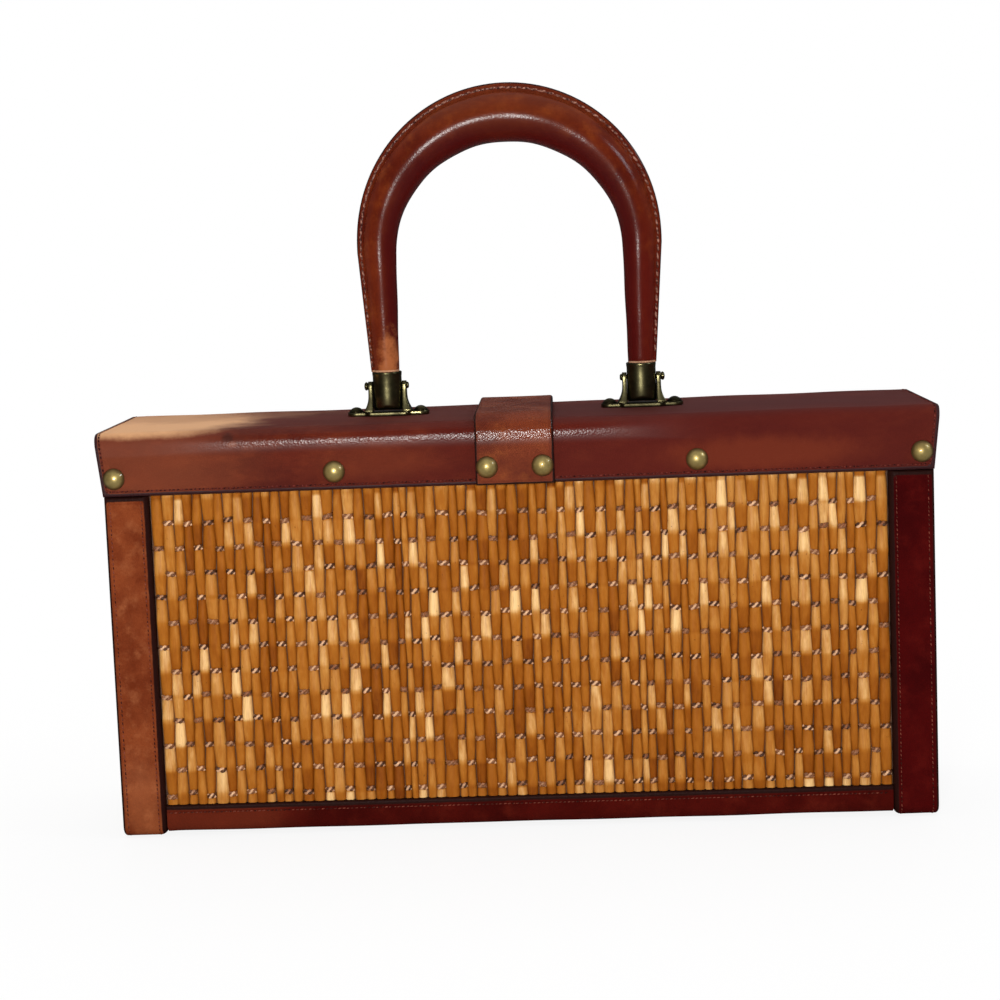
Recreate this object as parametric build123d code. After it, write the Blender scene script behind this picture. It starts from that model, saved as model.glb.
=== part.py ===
"""Basket box bag: a boarded case with reed matting and leather, a hinged lid and an arched handle."""

import os
from math import asin, atan2, cos, degrees, pi, sin, sqrt

from build123d import *

os.makedirs("parts", exist_ok=True)

# All lengths are millimetres. X runs along the width, Y from front to back and Z up from the floor.
overrun = 1.0  # how far a cutter stands past the face that it cuts
glue_gap = 0.05  # glue line under leather, matting and lining
side_gap = 0.2  # between neighbouring facings on the case
same_place = 0.01  # points closer than this are at one place

# Case boards
case_width = 355.0  # over the end covers
case_depth = 89.0  # over the fronts of the bands
board = 4.0
board_round = 1.2  # rounded lower edge of the front and back boards
lining = 1.0
lining_drop = 0.6  # lining's top edge below the board's top

# Leather on the case
band_width = 19.2
band_thickness = 4.3  # doubled leather
band_corner = 5.0  # where a band turns under the case
band_inner_bevel = 1.4
band_outer_bevel = 2.4
wrap_thickness = 3.0  # leather under the case, between the bands
wrap_height = 13.5
wrap_corner = 3.8
rail_height = 17.0
rail_proud = 1.1  # hinge rail and lid stand this far past the bands
rail_round = 1.6

# Reed matting
reed_count = 75
mat_base = 0.7
reed_depth = 2.0
reed_crest_share = 0.40  # flat crest of a reed, of the reed's pitch
reed_foot_share = 0.92  # foot of a reed, of the reed's pitch
weft_rows = 12
weft_width_share = 0.36  # of a reed's pitch, inside its flat crest
weft_height = 1.9  # width of the weft cord, up the reed
weft_proud = 0.6
weft_foot = 4.5  # lowest weft row above the mat's foot
weft_head = 12.3  # highest weft row below the mat's top

# Lid
lid_line = 150.6  # height of the lid's lower edge
lid_gap = 0.3  # between the lid's lower edge and the leather below
lid_height = 27.2
lid_flare = 3.0  # each end leans out by this much from the lower edge to the top
lip_height = 5.0  # case boards standing up inside the lid
lip_clearance = 0.5
lid_leather = 2.2
lid_shoulder = 6.7  # outer radius along the lid's front and back edges
lid_top_board = 4.0
lid_end_leather = 1.5
lid_end_inset = 0.4  # end panels sit this far inside the raw edges of the cover
lid_lining = 0.8
strap_width = 33.5
strap_thickness = 3.2
strap_bevel = 1.0

# Domed studs and nails
dome_sides = 14
dome_rings = 2
stud_radius = 4.25
stud_height = 2.6
stud_shank = 1.8  # square shank
shank_clearance = 0.1
stud_bite_share = 0.75  # of the lid's wall, taken by a stud's shank
stud_rise = 7.8  # above the lid's lower edge
stud_edge = 5.2  # outer studs from the ends of the lid's lower edge
stud_inner_x = 77.4
strap_stud_x = 11.8

# Handle brackets
bracket_x = 56.6
plate_thickness = 1.8
plate_width = 11.0
plate_length = 19.0
plate_ear = 3.8  # radius of a nail ear
nail_spacing = 28.8
cheek_thickness = 1.7
cheek_foot = 9.6
cheek_eye = 2.1  # radius of the eye at the top of a cheek
cheek_flare = 2.0  # radius where a cheek spreads into the plate
cheek_clearance = 0.4  # between a cheek and the ferrule
pin_height = 13.2  # above the lid's top
pin_radius = 1.0
pin_clearance = 0.05
pin_knob = 1.9  # radius of a pin's turned end
pin_knob_length = 1.8
pin_tip_share = 0.5  # of a knob's radius, at its outer end
nail_head = 3.4
nail_head_height = 2.2
nail_shank = 1.8  # square shank
nail_length = 5.4  # below the plate

# Ferrules and grip
ferrule_radius = 6.45
ferrule_clearance = 0.5  # between the turning ferrule and the plate
ferrule_rise = 6.4  # ferrule's upper end above the pin
socket_radius = 5.5
socket_depth = 4.0
socket_clearance = 0.1
arch_rise = 59.4  # straight legs, from the pin to the foot of the arch
arch_spread = 0.7  # each leg leans out by this much up to the arch
grip_base_radius = 5.6
grip_leg_radius = 7.25  # where the legs meet the arch
grip_top_radius = 11.0
seam_half = 1.3  # half the thickness of the stitched seam
seam_base = 1.3  # seam standing past the round grip, at the foot, at the arch and at the top
seam_leg = 2.9
seam_top = 3.8
swell_power = 1.3  # how the arch swells from its feet to its top
leg_steps = 3
arch_steps = 12

# Hinges
hinge_length = 34.0
leaf_height = 11.0
leaf_thickness = 0.9
knuckle_radius = 2.2
knuckle_stand = 0.1  # between a knuckle and the face behind it
knuckle_count = 3
knuckle_gap = 0.3
hinge_pin = 1.1
hinge_pin_clearance = 0.05

# Hidden magnetic catch
catch_width = 20.0
catch_height = 3.6
magnet_depth = 1.8
keeper_depth = 1.2
catch_clearance = 0.1

# Faces that several pieces share
half_width = case_width / 2
half_depth = case_depth / 2
board_x = half_width - band_thickness
board_y = half_depth - band_thickness
board_foot = band_thickness
board_top = lid_line + lip_height
leather_top = lid_line - lid_gap
window_x = half_width - band_width - side_gap
shell_y = board_y + lip_clearance
rail_y = half_depth + rail_proud
shell_outer_y = rail_y - lid_leather - glue_gap
lid_top = lid_line + lid_height
shell_top = lid_top - lid_leather - glue_gap
shell_inner_top = shell_top - lid_top_board
strap_y = rail_y + glue_gap + strap_thickness
stud_z = lid_line + stud_rise
pin_z = lid_top + pin_height
plate_top = lid_top + plate_thickness
ferrule_top = pin_z + ferrule_rise
stud_outer_x = half_width - stud_edge
hinge_x = (stud_inner_x + stud_outer_x) / 2
hinge_y = rail_y + knuckle_stand + knuckle_radius
hinge_z = lid_line - lid_gap / 2


def block(low, high):
    """A box between two opposite corners."""
    size = [b - a for a, b in zip(low, high)]
    return Pos(*low) * Box(*size, align=(Align.MIN, Align.MIN, Align.MIN))


def save(node, *shapes):
    """Writes one node, of one solid or of several like ones."""
    solids = [solid for shape in shapes for solid in shape.solids()]
    export_step(solids[0] if len(solids) == 1 else Compound(children=solids), f"parts/{node}.step")


def mirrored(shape, plane=Plane.YZ):
    """A shape and its reflection."""
    return [shape, shape.mirror(plane)]


def side_edges(strip, face_x, open_z):
    """The long edges along one side of a bent strip, without its open ends."""
    return [
        edge
        for edge in strip.edges()
        if abs(edge.center().X - face_x) < same_place and abs(edge.center().Z - open_z) > same_place
    ]


def trough(low_x, high_x, outer_y, low_z, high_z, thickness, corner, bevels=()):
    """Leather bent into a U: down the front, under the case and up the back."""
    outer = block((low_x, -outer_y, low_z), (high_x, outer_y, high_z))
    outer = fillet(outer.edges().filter_by(Axis.X).group_by(Axis.Z)[0], corner)
    for face_x, bevel in bevels:
        outer = chamfer(side_edges(outer, face_x, high_z), bevel)
    inner_y = outer_y - thickness
    inner_low = (low_x - overrun, -inner_y, low_z + thickness)
    return outer - block(inner_low, (high_x + overrun, inner_y, high_z + overrun))


def arch(half_length, outer_y, high_z, thickness, corner, bevel=0):
    """Leather bent over the lid: up the front, across the top and down the back."""
    outer = block((-half_length, -outer_y, lid_line), (half_length, outer_y, high_z))
    outer = fillet(outer.edges().filter_by(Axis.X).group_by(Axis.Z)[-1], corner)
    if bevel:
        for face_x in (-half_length, half_length):
            outer = chamfer(side_edges(outer, face_x, lid_line), bevel)
    inner_x = half_length + overrun
    inner_y = outer_y - thickness
    inner = block((-inner_x, -inner_y, lid_line - overrun), (inner_x, inner_y, high_z - thickness))
    return outer - fillet(inner.edges().filter_by(Axis.X).group_by(Axis.Z)[-1], corner - thickness)


def domed(radius, height, shank, root):
    """A domed head standing on the XY plane, in flat facets, on a square shank that goes down to its root."""
    ball = (radius**2 + height**2) / (2 * height)
    rim_angle = asin(radius / ball)
    side = shank / 2
    solid = block((-side, -side, root), (side, side, same_place))
    low = (radius, 0)
    for ring in reversed(range(dome_rings)):
        angle = rim_angle * (ring + 0.5) / dome_rings
        high = (ball * sin(angle), height - ball + ball * cos(angle))
        if ring == 0:
            high = (high[0], height)
        taper = degrees(atan2(low[0] - high[0], high[1] - low[1]))
        facets = extrude(RegularPolygon(low[0], dome_sides, False), high[1] - low[1], taper=taper)
        solid += Pos(0, 0, low[1]) * facets
        low = high
    return solid


def rod(radius, low, high, axis=Axis.Z):
    """A round bar on an axis, from one height along it to another."""
    bar = Pos(0, 0, low) * Cylinder(radius, high - low, align=(Align.CENTER, Align.CENTER, Align.MIN))
    return Rot(0, 90, 0) * bar if axis == Axis.X else bar


# Case boards: the front and back boards run past the end boards, and the bottom board sits between all four
inner_x = board_x - board
inner_y = board_y - board
catch_low = lid_line + (lip_height - catch_height) / 2
catch_high = catch_low + catch_height

plain_board = block((-board_x, -board_y, board_foot), (board_x, -inner_y, board_top))
lower_edge = plain_board.edges().filter_by(Axis.X).group_by(Axis.Z)[0].sort_by(Axis.Y)[0]
plain_board = fillet(lower_edge, board_round)
keeper_x = catch_width / 2
keeper_back = keeper_depth - board_y
keeper_pocket = block(
    (-keeper_x - catch_clearance, -board_y - overrun, catch_low - catch_clearance),
    (keeper_x + catch_clearance, keeper_back + catch_clearance, catch_high + catch_clearance),
)
save("front_board", plain_board - keeper_pocket)
save("back_board", plain_board.mirror(Plane.XZ))
save("catch_keeper", block((-keeper_x, -board_y, catch_low), (keeper_x, keeper_back, catch_high)))

end_board = block((inner_x, -inner_y, board_foot), (board_x, inner_y, board_top))
for node, solid in zip(("right_end_board", "left_end_board"), mirrored(end_board)):
    save(node, solid)
save("bottom_board", block((-inner_x, -inner_y, board_foot), (inner_x, inner_y, board_foot + board)))

lining_x = inner_x - glue_gap
lining_y = inner_y - glue_gap
lining_foot = board_foot + board + glue_gap
lining_top = board_top - lining_drop
tray = block((-lining_x, -lining_y, lining_foot), (lining_x, lining_y, lining_top))
hollow_x = lining_x - lining
hollow_y = lining_y - lining
tray -= block((-hollow_x, -hollow_y, lining_foot + lining), (hollow_x, hollow_y, lining_top + overrun))
save("box_lining", tray)

# Leather on the case: end covers, a band round each end, the wrap along the foot and the hinge rail
end_cover = block((board_x, -board_y, board_foot), (half_width, board_y, leather_top))
for node, solid in zip(("right_end_cover", "left_end_cover"), mirrored(end_cover)):
    save(node, solid)

band_inner_x = half_width - band_width
band_bevels = ((band_inner_x, band_inner_bevel), (half_width, band_outer_bevel))
band = trough(band_inner_x, half_width, half_depth, 0, leather_top, band_thickness, band_corner, band_bevels)
for node, solid in zip(("right_band", "left_band"), mirrored(band)):
    save(node, solid)

wrap_y = board_y + wrap_thickness
wrap_foot = board_foot - wrap_thickness
save("bottom_wrap", trough(-window_x, window_x, wrap_y, wrap_foot, wrap_height, wrap_thickness, wrap_corner))

rail_low = leather_top - rail_height
rail = block((-window_x, board_y, rail_low), (window_x, rail_y, leather_top))
rail = fillet(rail.edges().filter_by(Axis.X).group_by(Axis.Z)[0].sort_by(Axis.Y)[-1], rail_round)
save("back_rail", rail)

# Reed matting: one wall of upright reeds, with the weft showing on every other reed, in turn by rows
pitch = 2 * window_x / reed_count
crest = mat_base + reed_depth
foot_margin = pitch * (1 - reed_foot_share) / 2
crest_margin = pitch * (1 - reed_crest_share) / 2
mat_low = wrap_height + side_gap


def mat_wall(high_z):
    """The reeds, on a thin backing, from the foot of the window to its top."""
    edges = []
    last = Vector(-window_x, 0)
    for reed in range(reed_count):
        left = -window_x + reed * pitch
        feet = (left + foot_margin, left + pitch - foot_margin)
        crests = (left + crest_margin, left + pitch - crest_margin)
        outline = [(feet[0], mat_base), (crests[0], crest), (crests[1], crest), (feet[1], mat_base)]
        for point in outline:
            edges.append(Line(last, Vector(*point)))
            last = Vector(*point)
    for point in ((window_x, 0), (-window_x, 0)):
        edges.append(Line(last, Vector(*point)))
        last = Vector(*point)
    wall = extrude(make_face(edges), high_z - mat_low)
    return Pos(0, -board_y - glue_gap, mat_low) * wall.mirror(Plane.XZ)


def weft_knots(high_z):
    """Where the weft passes over a reed: a small ridge across the reed's crest."""
    knot_width = pitch * weft_width_share
    rows_low = mat_low + weft_foot
    row_pitch = (high_z - weft_head - rows_low) / (weft_rows - 1)
    foot_y = -board_y - glue_gap - crest + weft_proud
    crown_y = foot_y - 2 * weft_proud
    half = weft_height
    outline = Polygon((foot_y, -half), (foot_y, half), (crown_y, 0), align=None)
    knot = extrude(Plane.YZ * outline, knot_width / 2, both=True)
    knots = []
    for row in range(weft_rows):
        for reed in range(row % 2, reed_count, 2):
            knots.append(Pos(-window_x + (reed + 0.5) * pitch, 0, rows_low + row * row_pitch) * knot)
    return knots


save("front_reed_mat", mat_wall(leather_top).fuse(*weft_knots(leather_top)))
save("back_reed_mat", mat_wall(rail_low - side_gap).mirror(Plane.XZ))

# Studs: four along each long side of the lid and two at each end of the strap
shell_wall = shell_outer_y - shell_y
lid_stud_x = (-stud_outer_x, -stud_inner_x, stud_inner_x, stud_outer_x)
stud_seats = [(x, rail_y) for x in lid_stud_x] + [(x, strap_y) for x in (-strap_stud_x, strap_stud_x)]
stud_root_y = shell_outer_y - stud_bite_share * shell_wall
studs = []
stud_holes = []
hole_side = stud_shank / 2 + shank_clearance
for x, seat_y in stud_seats:
    stud = domed(stud_radius, stud_height, stud_shank, stud_root_y - seat_y)
    front = Pos(x, -seat_y, stud_z) * Rot(90, 0, 0) * stud
    hole_low = (x - hole_side, -strap_y - overrun, stud_z - hole_side)
    hole = block(hole_low, (x + hole_side, -stud_root_y + shank_clearance, stud_z + hole_side))
    studs += mirrored(front, Plane.XZ)
    stud_holes += mirrored(hole, Plane.XZ)
save("lid_studs", *studs)

# Bracket nails go through plate and leather into the lid's top board
nail_x = [side * bracket_x + end * nail_spacing / 2 for side in (-1, 1) for end in (-1, 1)]
nail = Pos(0, 0, plate_top) * domed(nail_head, nail_head_height, nail_shank, -plate_thickness - nail_length)
nail_side = nail_shank / 2 + shank_clearance
nail_root = lid_top - nail_length - shank_clearance
nail_hole = block((-nail_side, -nail_side, nail_root), (nail_side, nail_side, plate_top + overrun))
save("bracket_nails", *[Pos(x, 0, 0) * nail for x in nail_x])
lid_holes = stud_holes + [Pos(x, 0, 0) * nail_hole for x in nail_x]

# Lid: a shallow boarded shell, leather over front, top and back, panels on the leaning ends, and a strap
far_x = half_width + lid_flare + overrun


def lid_wedge(inset):
    """The lid's outline from the front, its ends leaning out, taken in by an inset at each end."""
    lean = lid_flare / lid_height * overrun
    low_x = half_width - inset - lean
    high_x = half_width + lid_flare - inset + lean
    low_z = lid_line - overrun
    high_z = lid_top + overrun
    outline = Polygon((-low_x, low_z), (low_x, low_z), (high_x, high_z), (-high_x, high_z), align=None)
    return extrude(Plane.XZ * outline, rail_y + overrun, both=True)


lid_cover = arch(far_x, rail_y, lid_top, lid_leather, lid_shoulder) & lid_wedge(0)
save("lid_cover", lid_cover.cut(*lid_holes))

shell_block = block((-far_x, -shell_outer_y, lid_line), (far_x, shell_outer_y, shell_top))
shell_round = lid_shoulder - lid_leather - glue_gap
shell_block = fillet(shell_block.edges().filter_by(Axis.X).group_by(Axis.Z)[-1], shell_round)
end_back = lid_end_inset + lid_end_leather
shell = shell_block & lid_wedge(end_back + glue_gap)
cavity_x = board_x + lip_clearance
shell -= block((-cavity_x, -shell_y, lid_line - overrun), (cavity_x, shell_y, shell_inner_top))
magnet_back = magnet_depth - shell_outer_y
magnet_pocket = block(
    (-keeper_x - catch_clearance, -shell_outer_y - overrun, catch_low - catch_clearance),
    (keeper_x + catch_clearance, magnet_back + catch_clearance, catch_high + catch_clearance),
)
save("lid_shell", shell.cut(magnet_pocket, *lid_holes))
save("catch_magnet", block((-keeper_x, -shell_outer_y, catch_low), (keeper_x, magnet_back, catch_high)))

end_panels = (shell_block & lid_wedge(lid_end_inset)) - lid_wedge(end_back)
for node, solid in zip(("lid_left_end_cover", "lid_right_end_cover"), end_panels.solids().sort_by(Axis.X)):
    save(node, solid)

lining_high = shell_inner_top - glue_gap
save("lid_lining", block((-board_x, -board_y, lining_high - lid_lining), (board_x, board_y, lining_high)))

strap_x = strap_width / 2
strap_top = lid_top + glue_gap + strap_thickness
strap_corner = lid_shoulder + glue_gap + strap_thickness
strap = arch(strap_x, strap_y, strap_top, strap_thickness, strap_corner, strap_bevel)
save("lid_strap", strap.cut(*stud_holes))

# Handle brackets: a plate with two nail ears and two cheeks that hold the pin
cheek_x = ferrule_radius + cheek_clearance
cheek_rise = pin_z - plate_top
plate_outline = Rectangle(plate_length, plate_width) + SlotCenterToCenter(nail_spacing, 2 * plate_ear)
cheek_half = cheek_foot / 2
side_corners = [(-cheek_half, 0), (cheek_half, 0), (cheek_eye, cheek_rise), (-cheek_eye, cheek_rise)]
side_outline = Polygon(*side_corners, align=None)
side_outline += Pos(0, cheek_rise) * Circle(cheek_eye)
flare_x = cheek_thickness + cheek_flare
flare_middle = cheek_flare * (1 - sqrt(0.5))
cheek_top = cheek_rise + cheek_eye
flare_top = (cheek_thickness, cheek_flare)
flare_end = (flare_x, 0)
front_outline = [
    Polyline(flare_top, (cheek_thickness, cheek_top), (0, cheek_top), (0, 0), flare_end),
    ThreePointArc(flare_end, (cheek_thickness + flare_middle, flare_middle), flare_top),
]
cheek = extrude(Plane.XZ * make_face(front_outline), cheek_half, both=True)
cheek &= extrude(Plane.YZ * side_outline, flare_x)
cheek = Pos(cheek_x, 0, plate_top) * cheek
bracket = Pos(0, 0, lid_top) * extrude(plate_outline, plate_thickness) + mirrored(cheek)
knob_x = cheek_x + cheek_thickness + glue_gap
pin_end = knob_x + pin_knob_length
pin_hole = Pos(0, 0, pin_z) * rod(pin_radius + pin_clearance, -pin_end, pin_end, Axis.X)
bracket -= pin_hole
for end in (-1, 1):
    bracket -= Pos(end * nail_spacing / 2, 0, 0) * nail_hole
save("left_bracket", Pos(-bracket_x, 0, 0) * bracket)
save("right_bracket", Pos(bracket_x, 0, 0) * bracket)

# Pins with turned ends
half_outline = [(knob_x, pin_radius), (knob_x, pin_knob), (pin_end, pin_tip_share * pin_knob), (pin_end, 0)]
pin_outline = [(-x, y) for x, y in reversed(half_outline)] + half_outline
pin = revolve(make_face(Polyline(*pin_outline, close=True)), Axis.X)
save("bracket_pins", *[Pos(side * bracket_x, 0, pin_z) * pin for side in (-1, 1)])

# Ferrules, rounded below so that each turns on its pin above the plate, with a socket for the grip
swing = cheek_rise - ferrule_clearance
ferrule = rod(ferrule_radius, pin_z - swing, pin_z)
ferrule &= Pos(0, 0, pin_z) * rod(swing, -ferrule_radius, ferrule_radius, Axis.X)
ferrule += rod(ferrule_radius, pin_z, ferrule_top)
ferrule -= rod(socket_radius, ferrule_top - socket_depth, ferrule_top + overrun)
ferrule -= pin_hole
save("left_ferrule", Pos(-bracket_x, 0, 0) * ferrule)
save("right_ferrule", Pos(bracket_x, 0, 0) * ferrule)

# Grip: round legs that swell into an arch, with the sewn seam standing up along the outside
leg_foot = ferrule_top + glue_gap
arch_centre = pin_z + arch_rise
arch_radius = bracket_x + arch_spread


def grip_section(x, z, outward, radius, seam):
    """A round section with the seam on its outer side, square to the arch."""
    plane = Plane(origin=(x, 0, z), x_dir=(outward[0], 0, outward[1]), z_dir=(outward[1], 0, -outward[0]))
    root = sqrt(radius**2 - seam_half**2)
    tip = radius + seam - seam_half
    outline = [
        ThreePointArc((root, seam_half), (-radius, 0), (root, -seam_half)),
        Line((root, -seam_half), (tip, -seam_half)),
        ThreePointArc((tip, -seam_half), (radius + seam, 0), (tip, seam_half)),
        Line((tip, seam_half), (root, seam_half)),
    ]
    return plane * make_face(outline)


def leg_section(side, share):
    """A section of a leg, at a share of its height."""
    radius = grip_base_radius + share * (grip_leg_radius - grip_base_radius)
    seam = seam_base + share * (seam_leg - seam_base)
    x = bracket_x + share * arch_spread
    return grip_section(side * x, leg_foot + share * (arch_centre - leg_foot), (side, 0), radius, seam)


def arch_section(angle):
    """A section of the arch, at an angle from its left foot."""
    swell = abs(sin(angle)) ** swell_power
    radius = grip_leg_radius + swell * (grip_top_radius - grip_leg_radius)
    seam = seam_leg + swell * (seam_top - seam_leg)
    outward = (-cos(angle), sin(angle))
    x = outward[0] * arch_radius
    z = arch_centre + outward[1] * arch_radius
    return grip_section(x, z, outward, radius, seam)


sections = [leg_section(-1, step / leg_steps) for step in range(leg_steps)]
sections += [arch_section(pi * step / arch_steps) for step in range(arch_steps + 1)]
sections += [leg_section(1, step / leg_steps) for step in reversed(range(leg_steps))]
grip = loft(sections, ruled=True)
stub_low = ferrule_top - socket_depth + socket_clearance
stub = rod(socket_radius - socket_clearance, stub_low, leg_foot + overrun)
for side in (-1, 1):
    grip += Pos(side * bracket_x, 0, 0) * stub
save("handle_grip", grip)

# Hinges: one leaf with the two outer knuckles on the case, one with the middle knuckle on the lid
knuckle_pitch = hinge_length / knuckle_count
knuckle_length = knuckle_pitch - knuckle_gap
leaf_edge = knuckle_radius + knuckle_gap


def hinge_leaf(upward, first):
    """A leaf that stands up or hangs down from the hinge line, with every other knuckle."""
    heights = sorted((upward * leaf_edge, upward * leaf_height))
    leaf = block((-hinge_length / 2, 0, heights[0]), (hinge_length / 2, leaf_thickness, heights[1]))
    axis_y = hinge_y - rail_y
    for knuckle in range(first, knuckle_count, 2):
        low_x = -hinge_length / 2 + knuckle * knuckle_pitch + knuckle_gap / 2
        high_x = low_x + knuckle_length
        link = sorted((0, upward * leaf_edge))
        leaf += block((low_x, 0, link[0]), (high_x, leaf_thickness, link[1]))
        leaf += Pos(0, axis_y, 0) * rod(knuckle_radius, low_x, high_x, Axis.X)
    bore_end = hinge_length / 2 + overrun
    return leaf - Pos(0, axis_y, 0) * rod(hinge_pin + hinge_pin_clearance, -bore_end, bore_end, Axis.X)


for node, upward, first in (("hinge_box_leaves", -1, 0), ("hinge_lid_leaves", 1, 1)):
    leaves = [Pos(side * hinge_x, rail_y, hinge_z) * hinge_leaf(upward, first) for side in (-1, 1)]
    save(node, *leaves)
hinge_end = hinge_length / 2
hinge_rod = rod(hinge_pin, -hinge_end, hinge_end, Axis.X)
save("hinge_pins", *[Pos(side * hinge_x, hinge_y, hinge_z) * hinge_rod for side in (-1, 1)])
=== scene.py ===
# %% [markdown]
# # A basket box bag
# The bag is a boarded box faced with reed matting and bound in old red-brown leather.
# Its lid carries an arched handle on dark brass brackets.
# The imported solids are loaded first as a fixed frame, and every piece below is dressed onto them.

# %% Load the frame
import math

import bpy
import numpy as np
from mathutils import Matrix, Vector


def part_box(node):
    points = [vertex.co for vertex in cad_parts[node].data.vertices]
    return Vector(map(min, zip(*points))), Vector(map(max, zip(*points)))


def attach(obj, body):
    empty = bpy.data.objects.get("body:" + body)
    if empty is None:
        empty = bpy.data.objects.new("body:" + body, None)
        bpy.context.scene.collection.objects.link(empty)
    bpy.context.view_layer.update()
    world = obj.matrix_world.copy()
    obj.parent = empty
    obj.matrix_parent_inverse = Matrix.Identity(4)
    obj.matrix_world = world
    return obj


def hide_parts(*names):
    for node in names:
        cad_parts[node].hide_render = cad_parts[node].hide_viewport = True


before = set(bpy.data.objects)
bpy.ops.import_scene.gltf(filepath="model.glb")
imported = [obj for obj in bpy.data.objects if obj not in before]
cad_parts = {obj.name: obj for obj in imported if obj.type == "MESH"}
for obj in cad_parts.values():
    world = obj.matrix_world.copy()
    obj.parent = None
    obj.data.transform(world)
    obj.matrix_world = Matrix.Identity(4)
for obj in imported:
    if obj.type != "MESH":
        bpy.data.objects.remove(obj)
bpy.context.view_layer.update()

# %% [markdown]
# ## Sizes
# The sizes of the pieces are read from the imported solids, so that each piece sits where its solid is.
# Pieces are measured in millimetres, as on a workshop drawing, and the mesh helper turns them into metres.
# Camera, lamps and floor are placed in Blender's own metres.


# %% Sizes
def corners(node):
    """A solid's lowest and highest corners at rest, in millimetres."""
    return [np.array(corner) * 1000 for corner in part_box(node)]


band_low, band_high = corners("right_band")
wrap_low, wrap_high = corners("bottom_wrap")
rail_low, rail_high = corners("back_rail")
end_low, end_high = corners("right_end_cover")
front_low, front_high = corners("front_reed_mat")
back_low, back_high = corners("back_reed_mat")
lid_low, lid_high = corners("lid_cover")
strap_low, strap_high = corners("lid_strap")
plate_low, plate_high = corners("right_bracket")
pins_low, pins_high = corners("bracket_pins")
ferrule_low, ferrule_high = corners("right_ferrule")
grip_top = corners("handle_grip")[1][2]
leg_x = (plate_low[0] + plate_high[0]) / 2
pin_z = (pins_low[2] + pins_high[2]) / 2
print("case:", 2 * band_high[:2], "lid:", lid_high - lid_low, "legs at:", round(leg_x, 2))

# %% [markdown]
# ## Camera
# The photograph was taken from a little above the lid, almost straight on, with a slight tilt of the frame.
# The camera could be aimed with a constraint, but a matrix from three angles gives that tilt exactly.
# A small lens shift stands for the crop of the photograph.

# %% Camera
camera_data = bpy.data.cameras.new("camera")
camera_data.lens = 75.6
camera_data.sensor_width = 36.0
camera_data.shift_x = 0.0189
camera_data.shift_y = -0.0429
camera = bpy.data.objects.new("camera", camera_data)
bpy.context.scene.collection.objects.link(camera)
camera_place = (0.0212, -0.9340, 0.2604)
yaw = math.radians(-2.284)
pitch = math.radians(6.287)
roll = math.radians(-2.258)
ahead = Vector((math.sin(yaw) * math.cos(pitch), math.cos(yaw) * math.cos(pitch), -math.sin(pitch)))
level = Vector((math.cos(yaw), -math.sin(yaw), 0))
upright = level.cross(ahead)
right = math.cos(roll) * level + math.sin(roll) * upright
up = -math.sin(roll) * level + math.cos(roll) * upright
turn = Matrix((right, up, -ahead)).transposed().to_4x4()
camera.matrix_world = Matrix.Translation(camera_place) @ turn
bpy.context.scene.camera = camera
bpy.context.scene.view_settings.view_transform = "Standard"
print("camera at", camera_place)

# %% [markdown]
# ## Shader helpers
# Materials here are trees of small nodes, and a few short helpers keep each finish readable.
# They place a node, mix two colours, do one sum, spread a value over a range, raise a fine relief,
# and read the marks that a mesh carries.


# %% Shader helpers
def dye(red, green, blue):
    """A colour as the eye reads it, 0 to 255, turned into the linear colour that shaders use."""
    shares = [value / 255 for value in (red, green, blue)]
    return tuple(s / 12.92 if s <= 0.04045 else ((s + 0.055) / 1.055) ** 2.4 for s in shares) + (1.0,)


def connect(tree, made, inputs):
    """Fills a node's inputs; each takes either a value or another node's output."""
    for key, value in (inputs or {}).items():
        if isinstance(value, bpy.types.NodeSocket):
            tree.links.new(value, made.inputs[key])
        else:
            made.inputs[key].default_value = value
    return made


def place(tree, kind, inputs=None, **settings):
    """Adds one node."""
    made = tree.nodes.new(kind)
    for key, value in settings.items():
        setattr(made, key, value)
    return connect(tree, made, inputs)


def mixed(tree, share, first, second):
    """Two colours mixed by a share."""
    return place(tree, "ShaderNodeMix", {0: share, 6: first, 7: second}, data_type="RGBA").outputs[2]


def sums(tree, operation, first, second=0.0):
    """One step of arithmetic."""
    return place(tree, "ShaderNodeMath", {0: first, 1: second}, operation=operation).outputs[0]


def steps(tree, operation, first, second=(0, 0, 0)):
    """One step of arithmetic on places."""
    return place(tree, "ShaderNodeVectorMath", {0: first, 1: second}, operation=operation).outputs


def spread(tree, value, low, high, new_low=0.0, new_high=1.0):
    """A value moved smoothly from one range to another."""
    inputs = {"Value": value, "From Min": low, "From Max": high, "To Min": new_low, "To Max": new_high}
    return place(tree, "ShaderNodeMapRange", inputs, interpolation_type="SMOOTHSTEP").outputs[0]


def noise(tree, spot, scale, detail=3.0, roughness=0.55):
    """Cloudy noise at a place."""
    inputs = {"Vector": spot, "Scale": scale, "Detail": detail, "Roughness": roughness}
    return place(tree, "ShaderNodeTexNoise", inputs).outputs[0]


def bumped(tree, height, strength, **more):
    """A normal that follows a fine relief, at most three tenths of a millimetre deep."""
    inputs = {"Height": height, "Strength": strength, "Distance": 0.0003}
    return place(tree, "ShaderNodeBump", inputs | more).outputs[0]


def mark(tree, name):
    """A number that a piece carries on its points."""
    return place(tree, "ShaderNodeAttribute", attribute_name=name, attribute_type="GEOMETRY").outputs["Fac"]


def where(tree):
    """The place on the piece, in metres."""
    return place(tree, "ShaderNodeTexCoord").outputs["Object"]


def start_group(name, inputs, outputs):
    """A node group with named sockets; returns the tree, its inputs and its output node."""
    tree = bpy.data.node_groups.new(name, "ShaderNodeTree")
    for socket, kind in inputs:
        tree.interface.new_socket(name=socket, in_out="INPUT", socket_type="NodeSocket" + kind)
    for socket, kind in outputs:
        tree.interface.new_socket(name=socket, in_out="OUTPUT", socket_type="NodeSocket" + kind)
    given = tree.nodes.new("NodeGroupInput").outputs
    return tree, given, tree.nodes.new("NodeGroupOutput")


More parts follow.
